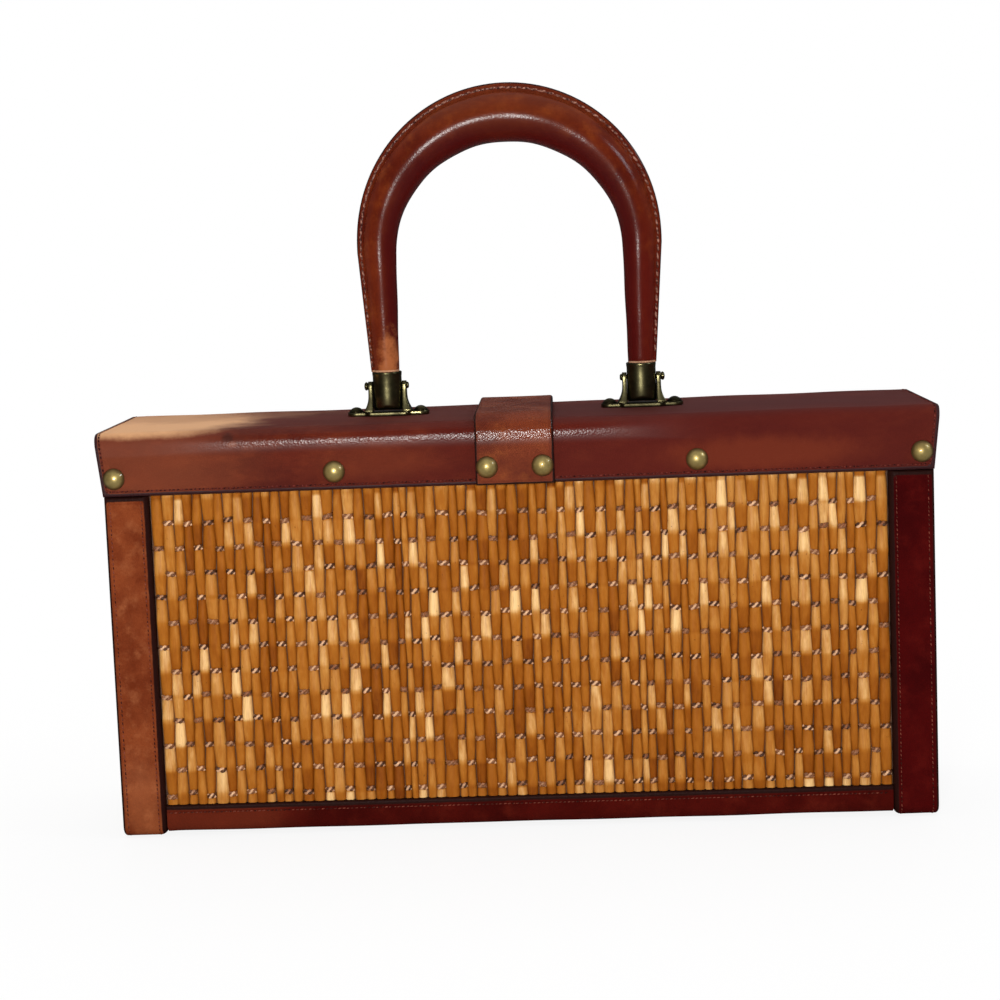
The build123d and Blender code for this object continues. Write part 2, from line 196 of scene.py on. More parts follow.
def use_group(tree, group, inputs=None):
    """Places a node group in a tree and returns its outputs."""
    made = tree.nodes.new("ShaderNodeGroup")
    made.node_tree = group
    return connect(tree, made, inputs).outputs


def start_material(name, **constants):
    """A material with its own shader; constants go straight onto the shader's sockets."""
    material = bpy.data.materials.new(name)
    material.use_nodes = True
    shader = material.node_tree.nodes["Principled BSDF"]
    for socket, value in constants.items():
        shader.inputs[socket.replace("_", " ")].default_value = value
    return material, material.node_tree, shader


print("helpers ready")

# %% [markdown]
# ## Background
# The photograph has a white surround, but the leather and brass mirror little, as they do in a dim room.
# So the sky is white for the camera's own rays, dim for light on the bag, and dark in its reflections.

# %% Background
world = bpy.data.worlds.new("studio")
bpy.context.scene.world = world
world.use_nodes = True
sky = world.node_tree
sky.nodes.clear()
around = place(sky, "ShaderNodeTexCoord").outputs["Generated"]
direction = place(sky, "ShaderNodeSeparateXYZ", {0: around}).outputs
dim_side, bright_side = (0.09, 0.09, 0.095, 1), (0.36, 0.36, 0.37, 1)
dark_mirror, pale_mirror = (0.05, 0.05, 0.053, 1), (0.30, 0.30, 0.30, 1)
pure_white = (1, 1, 1, 1)
bright = sums(sky, "MAXIMUM", spread(sky, direction[1], -0.2, 0.6), spread(sky, direction[2], 0.2, 0.9))
room = mixed(sky, bright, dim_side, bright_side)
rays = place(sky, "ShaderNodeLightPath").outputs
straight = sums(sky, "MAXIMUM", rays["Is Camera Ray"], rays["Is Transmission Ray"])
mirrored = mixed(sky, spread(sky, direction[2], 0.3, 0.95), dark_mirror, pale_mirror)
unseen = mixed(sky, rays["Is Glossy Ray"], room, mirrored)
backdrop = mixed(sky, straight, unseen, pure_white)
background = place(sky, "ShaderNodeBackground", {"Color": backdrop, "Strength": 1.0})
place(sky, "ShaderNodeOutputWorld", {0: background.outputs[0]})
print("background nodes:", len(sky.nodes))

# %% [markdown]
# ## Lamps
# The main lamp hangs a little above the camera and to its left.
# Shoulders, studs and the arch of the handle all shine where they face it.
# Large lamps overhead, behind and at each end only fill, and draw no shine of their own.
# A cool one high on the right, like a window, picks out the right leg of the handle.


# %% Lamps
def soft_lamp(name, watts, size, spot, aim, tint, shines=True):
    """A square lamp turned towards a point, seen in shiny surfaces or not."""
    data = bpy.data.lights.new(name, "AREA")
    data.energy = watts
    data.size = size
    data.color = tint
    lamp = bpy.data.objects.new(name, data)
    lamp.location = spot
    lamp.visible_glossy = shines
    lamp.rotation_euler = (Vector(aim) - Vector(spot)).to_track_quat("-Z", "Y").to_euler()
    bpy.context.scene.collection.objects.link(lamp)


bulb, warm, cool = (1.0, 0.985, 0.96), (1.0, 0.98, 0.96), (0.82, 0.90, 1.0)
soft_lamp("main_lamp", 7.5, 0.13, (-0.09, -1.02, 0.315), (0, 0, 0.12), bulb)
soft_lamp("overhead_lamp", 8.0, 1.30, (0.0, 0.15, 1.20), (0, 0, 0.17), warm, shines=False)
soft_lamp("back_lamp", 9.0, 1.20, (0.0, 1.30, 0.60), (0, 0, 0.15), warm, shines=False)
for side in (-1, 1):
    soft_lamp("end_lamp", 5.0, 0.90, (1.30 * side, 0.35, 0.45), (0, 0, 0.12), warm, shines=False)
soft_lamp("side_lamp", 4.2, 0.28, (1.25, -0.42, 1.00), (0, 0, 0.2), cool)

# %% [markdown]
# ## Floor
# The bag stands on plain white paper.
# Near the bag the paper keeps a faint shadow; further away it fades into the surround, so no horizon shows.
# Shiny pieces mirror it as a dark floor, because the real bag stood in a dim room.

# %% Floor
floor_material = bpy.data.materials.new("pale_floor")
floor_material.use_nodes = True
floor_tree = floor_material.node_tree
floor_tree.nodes.clear()
rays = place(floor_tree, "ShaderNodeLightPath").outputs
pale_paper, dark_paper = (0.80, 0.80, 0.80, 1), (0.10, 0.10, 0.10, 1)
paper_tone = mixed(floor_tree, rays["Is Glossy Ray"], pale_paper, dark_paper)
paper = place(floor_tree, "ShaderNodeBsdfDiffuse", {"Color": paper_tone}).outputs[0]
glow = place(floor_tree, "ShaderNodeEmission", {"Color": pure_white, "Strength": 1.0}).outputs[0]
away = steps(floor_tree, "LENGTH", where(floor_tree))["Value"]
fade = spread(floor_tree, away, 0.15, 0.45, 0.88, 1.0)
seen = sums(floor_tree, "MULTIPLY", rays["Is Camera Ray"], fade)
lifted = place(floor_tree, "ShaderNodeMixShader", {0: seen, 1: paper, 2: glow})
place(floor_tree, "ShaderNodeOutputMaterial", {0: lifted.outputs[0]})
floor_mesh = bpy.data.meshes.new("floor")
floor_mesh.from_pydata([(-4, -4, 0), (4, -4, 0), (4, 4, 0), (-4, 4, 0)], [], [(0, 1, 2, 3)])
floor_mesh.materials.append(floor_material)
floor = bpy.data.objects.new("floor", floor_mesh)
floor.location.z = -0.0004
bpy.context.scene.collection.objects.link(floor)
print("floor ready")

# %% [markdown]
# ## Leather grain
# Old bridle leather has fine pores and slow creases, and they break its highlights into small sparks.
# The grain is a node group, so that lid, bands, strap and handle share it.

# %% Leather grain
grain_group, given, result = start_group("leather_grain", [("Scale", "Float")], [("Height", "Float")])
spot = where(grain_group)
pore_inputs = {"Vector": spot, "Scale": given["Scale"]}
pores = place(grain_group, "ShaderNodeTexVoronoi", pore_inputs).outputs["Distance"]
creases = noise(grain_group, spot, sums(grain_group, "MULTIPLY", given["Scale"], 0.22), 4.0)
height = sums(grain_group, "ADD", sums(grain_group, "MULTIPLY", pores, 0.8), creases)
connect(grain_group, result, {"Height": height})
print("group:", grain_group.name)

# %% [markdown]
# ## Cloudy dye
# Hand dye never lies even: it is darker and lighter in clouds, with flecks where the hide took more of it.
# Three dyes are mixed by three sizes of noise.

# %% Cloudy dye
dye_inputs = [("Dark", "Color"), ("Middle", "Color"), ("Light", "Color")]
dye_inputs += [("Scale", "Float"), ("Stretch", "Vector")]
dye_group, given, result = start_group("cloudy_dye", dye_inputs, [("Color", "Color")])
spot = steps(dye_group, "MULTIPLY", where(dye_group), given["Stretch"])[0]
clouds = noise(dye_group, spot, given["Scale"], 6.0, 0.62)
flecks = noise(dye_group, spot, sums(dye_group, "MULTIPLY", given["Scale"], 14.0), 4.0, 0.65)
light_clouds = noise(dye_group, spot, sums(dye_group, "MULTIPLY", given["Scale"], 2.7), 5.0, 0.6)
base = mixed(dye_group, spread(dye_group, clouds, 0.30, 0.66), given["Dark"], given["Middle"])
base = mixed(dye_group, spread(dye_group, light_clouds, 0.46, 0.80, 0.0, 0.6), base, given["Light"])
base = mixed(dye_group, spread(dye_group, flecks, 0.50, 0.80, 0.0, 0.55), base, given["Dark"])
connect(dye_group, result, {"Color": base})
print("group:", dye_group.name)

# %% [markdown]
# ## Patches of wear and of painted light
# Where hands, sun or damp took the dye off, the leather shows a paler or darker patch with a frayed edge.
# The same patches also paint shade, highlights and reflections into the leather's colour.
# The patch is a soft egg round a chosen place, and noise pushes its edge in and out.

# %% Patches of wear and of painted light
patch_inputs = [("Centre", "Vector"), ("Reach", "Vector")]
patch_inputs += [("Fray", "Float"), ("Scale", "Float"), ("Soft", "Float")]
patch_group, given, result = start_group("wear_and_light_patch", patch_inputs, [("Mask", "Float")])
spot = where(patch_group)
away = steps(patch_group, "SUBTRACT", spot, given["Centre"])[0]
distance = steps(patch_group, "LENGTH", steps(patch_group, "DIVIDE", away, given["Reach"])[0])["Value"]
ragged = sums(patch_group, "SUBTRACT", noise(patch_group, spot, given["Scale"], 6.0, 0.7), 0.5)
distance = sums(patch_group, "ADD", distance, sums(patch_group, "MULTIPLY", ragged, given["Fray"]))
outside = sums(patch_group, "ADD", 1.0, given["Soft"])
inside = sums(patch_group, "SUBTRACT", 1.0, given["Soft"])
connect(patch_group, result, {"Mask": spread(patch_group, distance, outside, inside)})
print("group:", patch_group.name)

# %% [markdown]
# ## Burnished edge
# Cut edges are sealed and rubbed until they turn nearly black, and a pressed crease runs beside them.
# Each strip carries its distance to the nearest cut edge as a mark, so the group only has to read it.

# %% Burnished edge
edge_outputs = [("Mask", "Float"), ("Crease", "Float")]
edge_group, given, result = start_group("burnished_edge", [("Width", "Float")], edge_outputs)
rim = mark(edge_group, "rim")
waver = sums(edge_group, "MULTIPLY", noise(edge_group, where(edge_group), 140.0), 0.5)
rim_wavering = sums(edge_group, "ADD", sums(edge_group, "SUBTRACT", rim, 0.25), waver)
narrow = sums(edge_group, "MULTIPLY", given["Width"], 0.72)
burnished = spread(edge_group, rim_wavering, given["Width"], narrow)
past_edge = sums(edge_group, "SUBTRACT", rim, sums(edge_group, "ADD", given["Width"], 0.5))
crease = spread(edge_group, sums(edge_group, "ABSOLUTE", past_edge), 0.75, 0.1)
connect(edge_group, result, {"Mask": burnished, "Crease": crease})
print("group:", edge_group.name)

# %% [markdown]
# ## Tarnish
# Old brass dulls in patches, and the dull parts are darker and less shiny than the rubbed ones.

# %% Tarnish
tarnish_inputs = [("Bright", "Color"), ("Dull", "Color"), ("Scale", "Float"), ("Shine", "Float")]
tarnish_outputs = [("Color", "Color"), ("Roughness", "Float"), ("Height", "Float")]
tarnish_group, given, result = start_group("tarnish", tarnish_inputs, tarnish_outputs)
spot = where(tarnish_group)
stain = noise(tarnish_group, spot, given["Scale"], 4.0, 0.6)
scuffs = noise(tarnish_group, spot, sums(tarnish_group, "MULTIPLY", given["Scale"], 5.0), 3.0)
tarnished = mixed(tarnish_group, spread(tarnish_group, stain, 0.34, 0.68), given["Bright"], given["Dull"])
duller = sums(tarnish_group, "ADD", given["Shine"], spread(tarnish_group, stain, 0.3, 0.7, 0.0, 0.16))
connect(tarnish_group, result, {"Color": tarnished, "Roughness": duller, "Height": scuffs})
print("groups:", sorted(group.name for group in bpy.data.node_groups))

# %% [markdown]
# ## Leather
# One function makes each leather from three dyes, and takes a list of patches to lay over them, some of wear
# and some of painted light and shade.
# The hide itself is matt, and its burnished edges are black and a little shiny.
# Old wax lies over it above a given height, where hands rub, and the grain breaks that shine into sparks.
# Along the stretches that are listed as dull, the wax has worn off again.

# %% Leather
matt, grain_scale = 0.95, 1300.0


def leather(name, dyes, scale, patches=(), edge_width=2.3, stretch=(1, 1, 1), wax=(0.04, 0, 1, matt),
            edge_tint=(36, 15, 12), inner=None, depth=0.40, dull=()):
    """Leather with burnished edges, from three dyes: dark, middle and light.

    wax is a shine, the heights between which it sets in, and its roughness.
    dull is a list of axis, start, stop and roughness.
    """
    shine, matt_below, waxed_above, waxed_rough = wax
    material, tree, shader = start_material(name, Specular_IOR_Level=shine)
    dark, middle, light = [dye(*tint) for tint in dyes]
    values = {"Dark": dark, "Middle": middle, "Light": light, "Scale": scale, "Stretch": stretch}
    colour = use_group(tree, dye_group, values)["Color"]
    # inner is a tint painted on the inside of an arch: a painted shade on the side that faces away from the
    # light.
    if inner:
        inside_shade_share = spread(tree, mark(tree, "inner"), 0.35, 0.80, 0.0, 0.9)
        colour = mixed(tree, inside_shade_share, colour, dye(*inner))
    for centre, reach, fray, fineness, soft, tint, strength in patches:
        values = {"Centre": [v / 1000 for v in centre], "Reach": [v / 1000 for v in reach]}
        values |= {"Fray": fray, "Scale": fineness, "Soft": soft}
        mask = use_group(tree, patch_group, values)["Mask"]
        colour = mixed(tree, sums(tree, "MULTIPLY", mask, strength), colour, dye(*tint))
    edge = use_group(tree, edge_group, {"Width": edge_width})
    colour = mixed(tree, sums(tree, "MULTIPLY", edge["Crease"], 0.4), colour, dark)
    colour = mixed(tree, edge["Mask"], colour, dye(*edge_tint))
    spot = place(tree, "ShaderNodeSeparateXYZ", {0: where(tree)}).outputs
    rough = spread(tree, spot[2], matt_below / 1000, waxed_above / 1000, matt, waxed_rough)
    for axis, start, stop, worn_rough in dull:
        worn = spread(tree, spot[axis], start / 1000, stop / 1000, waxed_rough, worn_rough)
        rough = sums(tree, "MAXIMUM", rough, worn)
    edge_rough = sums(tree, "SUBTRACT", 1.0, sums(tree, "MULTIPLY", edge["Mask"], 0.55))
    rough = sums(tree, "MINIMUM", rough, edge_rough)
    grain = use_group(tree, grain_group, {"Scale": grain_scale})["Height"]
    relief = bumped(tree, grain, depth)
    connect(tree, shader, {"Base Color": colour, "Roughness": rough, "Normal": relief})
    return material


print("leather function ready")

# %% [markdown]
# ## Leather colours
# The left band is tan-brown, while the right band and the foot are a dark oxblood; this is partly real fading
# and partly painted light, lit from the left and shaded on the right.
# The lid is browner on its left and redder on its right, partly painted light in the same way.
# Over its top, patches paint a greyish grazing reflection and shade, and pale patches at the left end paint a
# grazing reflection.
# Each patch is a centre, a reach, how frayed and fine and soft its edge is, a tint and a strength.

# %% Leather colours
lid_patches = [
    # The first two patches make the front redder on the right and browner on the left, partly wear and partly
    # painted light and shade.
    ((90, -40, 165), (130, 30, 40), 0.5, 30.0, 0.6, (76, 14, 7), 0.75),
    ((-165, -40, 162), (50, 20, 20), 0.6, 40.0, 0.5, (124, 62, 36), 0.5),
    # The next two cover the top and paint a greyish grazing reflection and shade on it.
    ((20, 0, 180), (200, 44, 4), 0.3, 40.0, 0.5, (84, 34, 29), 0.7),
    ((110, 0, 180), (120, 44, 4), 0.4, 40.0, 0.6, (58, 17, 20), 0.6),
    # The next two, pale, at the left end of the top, paint a grazing reflection.
    ((-160, -6, 179), (42, 56, 4.2), 0.9, 34.0, 0.35, (208, 157, 111), 0.95),
    ((-150, 22, 179), (60, 22, 4.0), 1.6, 60.0, 0.50, (150, 104, 72), 0.45),
    ((-122.5, -43.5, 174.4), (2.4, 5, 1.9), 1.1, 300.0, 0.5, (48, 18, 13), 0.7),
    ((-120.5, -43.5, 171.6), (2.2, 5, 1.2), 1.2, 300.0, 0.5, (140, 76, 48), 0.4),
    ((-60, -46, 162), (26, 6, 7), 1.0, 110.0, 0.5, (130, 64, 32), 0.15),
    ((105, -46, 160), (40, 6, 7), 1.0, 90.0, 0.5, (122, 50, 22), 0.4),
]
x_axis, z_axis = 0, 2
lid_dyes = ((68, 16, 7), (90, 28, 11), (116, 48, 22))
lid_wax = (0.24, 166.5, 171.5, 0.25)
lid_dull = [(x_axis, 20, 90, matt), (x_axis, -100, -170, 0.75), (z_axis, 174.5, 177.4, 0.70)]
lid_leather = leather("lid_leather", lid_dyes, 34.0, lid_patches, 1.7, (0.6, 1, 1.3), lid_wax, (48, 18, 20),
                      depth=0.30, dull=lid_dull)
strap_dyes = ((80, 26, 11), (108, 44, 19), (138, 70, 30))
strap_wax = (0.30, 166.5, 171.0, 0.22)
strap_dull = [(z_axis, 177.0, 180.5, 0.70)]
strap_leather = leather("strap_leather", strap_dyes, 40.0, edge_width=1.0, wax=strap_wax, dull=strap_dull)
left_patches = [
    ((-166, -44, 14), (9, 10, 18), 1.3, 300.0, 0.5, (170, 104, 66), 0.18),
    ((-171, -44, 26), (6, 10, 12), 1.4, 380.0, 0.5, (160, 92, 58), 0.15),
]
# The left band's dyes are partly painted light, and the right band's are partly painted shade.
left_band_faded_and_lit = leather("left_band_leather", ((96, 38, 17), (124, 59, 30), (150, 86, 52)), 60.0, left_patches)
right_band_dark_and_shaded = leather("right_band_leather", ((52, 3, 4), (66, 5, 5), (82, 14, 10)), 40.0)
# The foot is browner at its left end, partly painted light from the left.
case_patches = [((-140, -44, 8), (34, 12, 12), 0.8, 60.0, 0.5, (104, 42, 24), 0.6)]
case_leather = leather("case_leather", ((54, 6, 4), (72, 12, 7), (92, 26, 15)), 36.0, case_patches)
print("leathers:", [item.name for item in bpy.data.materials if "leather" in item.name])

# %% [markdown]
# ## Mesh helpers
# Most pieces are swept outlines: a grid of points whose rows follow a path and whose columns go round it.
# Modifiers could sweep them, but in a grid each point can carry marks, such as its distance to a cut edge.


# %% Mesh helpers
def facing(points, ring, outward):
    """Whether a grid's faces look outward: away from its middle if it is a tube, else along a direction."""
    following = np.roll(points, -1, axis=1) if ring else points[:, 1:]
    here = points if ring else points[:, :-1]
    normals = np.cross(following[:-1] - here[:-1], here[1:] - here[:-1])
    if outward is None:
        spokes = here[:-1] - points.mean(axis=1, keepdims=True)[:-1]
        return float((normals * spokes).sum()) >= 0
    return float((normals * np.array(outward)).sum()) >= 0


def grid(points, ring=False, caps=False, outward=None, **marks):
    """One grid of points in millimetres, with its marks."""
    points = np.asarray(points, float)
    return {"points": points, "ring": ring, "caps": caps, "outward": outward, "marks": marks}


def faces(sheet, first):
    """The corner numbers of a grid's faces and how many corners each face has."""
    points = sheet["points"]
    rows, columns = points.shape[:2]
    across = columns if sheet["ring"] else columns - 1
    row, column = np.meshgrid(np.arange(rows - 1), np.arange(across), indexing="ij")
    beside = (column + 1) % columns
    below = [row * columns + column, row * columns + beside]
    above = [(row + 1) * columns + beside, (row + 1) * columns + column]
    quads = np.stack(below + above, axis=-1).reshape(-1, 4) + first
    outlines = [np.arange(columns)[::-1] + first, np.arange(columns) + first + (rows - 1) * columns]
    if not facing(points, sheet["ring"], sheet["outward"]):
        quads = quads[:, ::-1]
        outlines = [outline[::-1] for outline in outlines]
    capped = outlines if sheet["caps"] else []
    loops = np.concatenate([quads.ravel()] + capped)
    return loops, np.array([4] * len(quads) + [columns] * len(capped))


def make_piece(name, body, material, grids, stands_for=()):
    """Joins grids into one mesh that rides on a body and stands for solids of the frame."""
    coordinates, loops, lengths = [], [], []
    marks = {}
    first = 0
    for sheet in grids:
        rows, columns = sheet["points"].shape[:2]
        sheet_loops, sheet_lengths = faces(sheet, first)
        loops.append(sheet_loops)
        lengths.append(sheet_lengths)
        coordinates.append(sheet["points"].reshape(-1, 3))
        for key, values in sheet["marks"].items():
            full = np.broadcast_to(np.asarray(values, float), (rows, columns))
            marks.setdefault(key, []).append(full.ravel())
        first += rows * columns
    loops = np.concatenate(loops).astype(np.int32)
    lengths = np.concatenate(lengths)
    starts = (np.cumsum(lengths) - lengths).astype(np.int32)
    mesh = bpy.data.meshes.new(name)
    mesh.vertices.add(first)
    mesh.vertices.foreach_set("co", (np.concatenate(coordinates) / 1000).astype(np.float32).ravel())
    mesh.loops.add(len(loops))
    mesh.loops.foreach_set("vertex_index", loops)
    mesh.polygons.add(len(starts))
    mesh.polygons.foreach_set("loop_start", starts)
    mesh.update(calc_edges=True)
    for key, parts in marks.items():
        layer = mesh.attributes.new(key, "FLOAT", "POINT")
        layer.data.foreach_set("value", np.concatenate(parts).astype(np.float32))
    mesh.materials.append(material)
    piece = bpy.data.objects.new(name, mesh)
    bpy.context.scene.collection.objects.link(piece)
    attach(piece, body)
    if stands_for:
        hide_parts(*stands_for)
    print(name, "triangles:", int((lengths - 2).sum()))


print("mesh helpers ready")

# %% [markdown]
# ## Paths for bent leather
# Bands, wrap, lid cover and strap are strips of thick leather bent round boards.
# Each follows a U-shaped path from the front, round two corners, to the back; panels follow a straight one.


# %% Paths for bent leather
near_ends = np.array([0.0, 0.12, 0.35, 0.7, 1.1])
past_ends = 1.6


def spaced(total, step):
    """Places along a path, closer together near its ends, where the cut edges are rounded."""
    return np.concatenate([near_ends, np.arange(past_ends, total - past_ends, step), total - near_ends[::-1]])


def bend(half_depth, height, corner, step=1.4):
    """A U-shaped path with its bend at height zero: places and outward directions, as depth and height."""
    quarter = corner * math.pi / 2
    straight_run = height - corner
    flat_run = 2 * (half_depth - corner)
    total = 2 * straight_run + 2 * quarter + flat_run
    places, outs = [], []
    for s in spaced(total, step):
        from_end = min(s, total - s)
        side = -1 if s < total / 2 else 1
        if from_end <= straight_run:
            places.append((side * half_depth, height - from_end))
            outs.append((side, 0))
        elif from_end <= straight_run + quarter:
            angle = (from_end - straight_run) / corner
            out = (side * math.cos(angle), -math.sin(angle))
            places.append((side * (half_depth - corner) + corner * out[0], corner + corner * out[1]))
            outs.append(out)
        else:
            places.append((side * (total / 2 - from_end), 0))
            outs.append((0, -1))
    return np.array(places), np.array(outs)


def upright_path(places, outs, foot):
    """A bend under the case, standing on a foot height."""
    nothing = np.zeros(len(places))
    path = np.stack([nothing, places[:, 0], places[:, 1] + foot], axis=1)
    return path, np.stack([nothing, outs[:, 0], outs[:, 1]], axis=1)


def hanging_path(places, outs, top):
    """A bend over the lid, hanging from a top height."""
    nothing = np.zeros(len(places))
    path = np.stack([nothing, places[:, 0], top - places[:, 1]], axis=1)
    return path, np.stack([nothing, outs[:, 0], -outs[:, 1]], axis=1)


def straight_path(start, end, out, step=1.6):
    """A straight path with the same outward direction all along."""
    start, end = np.array(start, float), np.array(end, float)
    total = np.linalg.norm(end - start)
    path = start + (end - start) * (spaced(total, step) / total)[:, None]
    return path, np.broadcast_to(np.array(out, float), path.shape)


print("paths ready")

# %% [markdown]
# ## Strips of leather
# A strip's outer face lies on its path, with rounded cut edges, and is slightly uneven, as old leather is.
# Every point is marked with its distance to the nearest cut edge.


# %% Strips of leather
along_x = (1, 0, 0)
along_y = (0, 1, 0)
even_margin, back_rim = 5.0, 6.0


def lengths_along(points):
    """How far along a line each of its points lies."""
    return np.concatenate([[0], np.cumsum(np.linalg.norm(np.diff(points, axis=0), axis=1))])


def ripple(u, v, seed):
    """Slow unevenness between -1 and 1."""
    waves = np.sin(u * 0.071 + v * 0.043 + seed) + np.sin(u * 0.031 - v * 0.117 + 2.1 * seed)
    return (waves + np.sin(u * 0.173 + v * 0.091 + 0.7 * seed) * 0.6) / 2.6


def strip(path, outs, across, low, high, thickness, rounds, fill=14, uneven=0.16, sides=True, end_round=1.1,
          rim_pace=(1, 1), seed=1.0):
    """A strip of leather from low to high across its path; rim_pace narrows the dark edge of a side."""
    across = np.array(across, float)
    low = np.broadcast_to(np.asarray(low, float), len(path))[:, None]
    high = np.broadcast_to(np.asarray(high, float), len(path))[:, None]
    along = lengths_along(path)
    to_end = np.minimum(along, along[-1] - along)[:, None]
    turns = np.radians(np.linspace(0, 90, 6))[None, :]
    low_place = low + rounds[0] * (1 - np.cos(turns))
    low_depth = rounds[0] * (1 - np.sin(turns))
    high_place = high - rounds[1] * (1 - np.cos(turns[:, ::-1]))
    high_depth = rounds[1] * (1 - np.sin(turns[:, ::-1]))
    shares = np.linspace(0, 1, fill + 2)[1:-1][None, :]
    middle_place = low + rounds[0] + shares * (high - low - rounds[0] - rounds[1])
    places = np.concatenate([low_place, middle_place, high_place, high, low], axis=1)
    ones = np.ones_like(low)
    depths = np.concatenate([low_depth * ones, np.zeros_like(middle_place), high_depth * ones], axis=1)
    gap = np.clip(1 - to_end / end_round, 0, 1)
    depths = np.maximum(depths, end_round * (1 - np.sqrt(1 - gap**2)))
    to_side = np.minimum(places - low, high - places)[:, :-2]
    inside = np.clip(to_side / even_margin, 0, 1) * np.clip(to_end / even_margin, 0, 1)
    depths = depths + uneven * inside * (ripple(along[:, None], places[:, :-2], seed) + 0.15)
    depths = np.concatenate([depths, thickness * ones, thickness * ones], axis=1)
    points = path[:, None, :] + places[..., None] * across - depths[..., None] * outs[:, None, :]
    rim = to_end * np.ones_like(places)
    if sides:
        rim = np.minimum(rim, np.minimum((places - low) * rim_pace[0], (high - places) * rim_pace[1]))
    rim[:, -2:] = np.minimum(rim[:, -2:], back_rim)
    return grid(points, ring=True, caps=True, rim=rim)


print("strips ready")

# %% [markdown]
# ## Seams
# The seams are sewn with waxed thread, pale on top and dark in the twist.
# It is modelled stitch by stitch, because each one catches a small glint.


# %% Seams
def lane(path, outs, across, offset, sink=0.0):
    """A line on a strip, at one place across it: points and outward directions."""
    offset = np.broadcast_to(np.asarray(offset, float), len(path))[:, None]
    return path + offset * np.array(across, float) - sink * outs, outs


def long_seam(half_length, depth, height, side):
    """A straight seam along the width of the bag, on its front or its back."""
    x = np.linspace(-half_length, half_length, 400)
    points = np.stack([x, np.full_like(x, side * depth), np.full_like(x, height)], axis=1)
    return points, np.broadcast_to(np.array([0, side, 0.0]), points.shape)


def full_turn(count):
    """Evenly spaced angles, all the way round."""
    return np.linspace(0, 2 * math.pi, count + 1)[:-1]


def reading(values, along, distance):
    """What a line of values reads at a distance along it."""
    return np.array([np.interp(distance, along, values[:, axis]) for axis in range(3)])


def stitches(points, outs, pitch=1.85, length=1.35, width=0.26, height=0.22, skip=1.0):
    """A row of short threads lying along a line, each leaning a little."""
    along = lengths_along(points)
    turns = full_turn(6)
    shape = np.array([(-0.5, 0.35), (-0.3, 0.9), (0.0, 1.0), (0.3, 0.9), (0.5, 0.35)])
    rows = []
    for middle in np.arange(skip, along[-1] - skip, pitch):
        spot, out = reading(points, along, middle), reading(outs, along, middle)
        run = reading(points, along, middle + 0.4) - spot
        run /= np.linalg.norm(run)
        out = out - run * out.dot(run)
        out /= np.linalg.norm(out)
        side = np.cross(out, run)
        lean = run + 0.16 * side
        ring = np.cos(turns)[None, :, None] * side * width + np.sin(turns)[None, :, None] * out * height
        sewn = spot + shape[:, :1, None] * lean * length + shape[:, 1:, None] * ring
        rows.append(grid(sewn, ring=True, caps=True))
    return rows


def thread(name, dark, light):
    """Waxed thread in two tones."""
    material, tree, shader = start_material(name, Roughness=0.42, Specular_IOR_Level=0.06)
    plies = noise(tree, where(tree), 700.0, 2.0)
    tone = mixed(tree, spread(tree, plies, 0.38, 0.66), dye(*dark), dye(*light))
    connect(tree, shader, {"Base Color": tone})
    return material


case_thread = thread("case_thread", (40, 12, 9), (124, 62, 48))
lid_thread = thread("lid_thread", (30, 7, 7), (110, 46, 38))
print("threads:", case_thread.name, lid_thread.name)

# %% [markdown]
# ## Bands round the case
# A doubled band of leather runs down the front at each end, under the case and up the back.
# Its inner edge is wide, rounded and almost black; the outer edge wraps the corner of the case.

# %% Bands round the case
band_corner = 5.0
band_thickness = end_high[0] - end_low[0]
inner_seam, outer_seam = 3.1, 2.6
inner_round, outer_round, outer_pace = 3.0, 1.6, 1.8
band_path, band_outs = upright_path(*bend(band_high[1], band_high[2], band_corner), 0.0)
for name, side, finish in (("left_band", -1, left_band_faded_and_lit), ("right_band", 1, right_band_dark_and_shaded)):
    low, high = sorted((side * band_low[0], side * band_high[0]))
    rounds, pace = (outer_round, inner_round), (outer_pace, 1)
    if side > 0:
        rounds, pace = rounds[::-1], pace[::-1]
    band = strip(band_path, band_outs, along_x, low, high, band_thickness, rounds,
                 fill=16, rim_pace=pace, seed=2 + side)
    make_piece(name, "box", finish, [band], [name])
    rows = []
    for seam_x in (band_low[0] + inner_seam, band_high[0] - outer_seam):
        rows += stitches(*lane(band_path, band_outs, along_x, side * seam_x, 0.05), skip=3.0)
    make_piece(name + "_stitches", "box", case_thread, rows)

# %% [markdown]
# ## Bottom wrap, hinge rail and ends
# Thinner leather covers the foot of the case between the bands, the rail under the hinges, and both ends.
# The ends and the rail are flat panels, so their paths are straight.

# %% Bottom wrap, hinge rail and ends
wrap_corner, cut_round, rail_round = 3.8, (0.3, 0.3), (0.6, 0.6)
wrap_thickness = band_thickness - wrap_low[2]
wrap_path, wrap_outs = upright_path(*bend(wrap_high[1], wrap_high[2] - wrap_low[2], wrap_corner), wrap_low[2])
wrap = strip(wrap_path, wrap_outs, along_x, wrap_low[0], wrap_high[0], wrap_thickness, cut_round,
             fill=90, sides=False)
make_piece("bottom_wrap", "box", case_leather, [wrap], ["bottom_wrap"])
rail_face = rail_high[1]
rail_path, rail_outs = straight_path((0, rail_face, rail_high[2]), (0, rail_face, rail_low[2]), along_y)
rail_depth = rail_face - rail_low[1]
rail = strip(rail_path, rail_outs, along_x, rail_low[0], rail_high[0], rail_depth, rail_round,
             fill=70, sides=False)
make_piece("back_rail", "box", case_leather, [rail], ["back_rail"])
for name, side in (("left_end_cover", -1), ("right_end_cover", 1)):
    face = side * end_high[0]
    end_path, end_outs = straight_path((face, 0, end_high[2]), (face, 0, end_low[2]), (side, 0, 0))
    end = strip(end_path, end_outs, along_y, end_low[1], end_high[1], band_thickness, cut_round,
                fill=30, uneven=0.2, sides=False, seed=4 + side)
    make_piece(name, "box", case_leather, [end], [name])

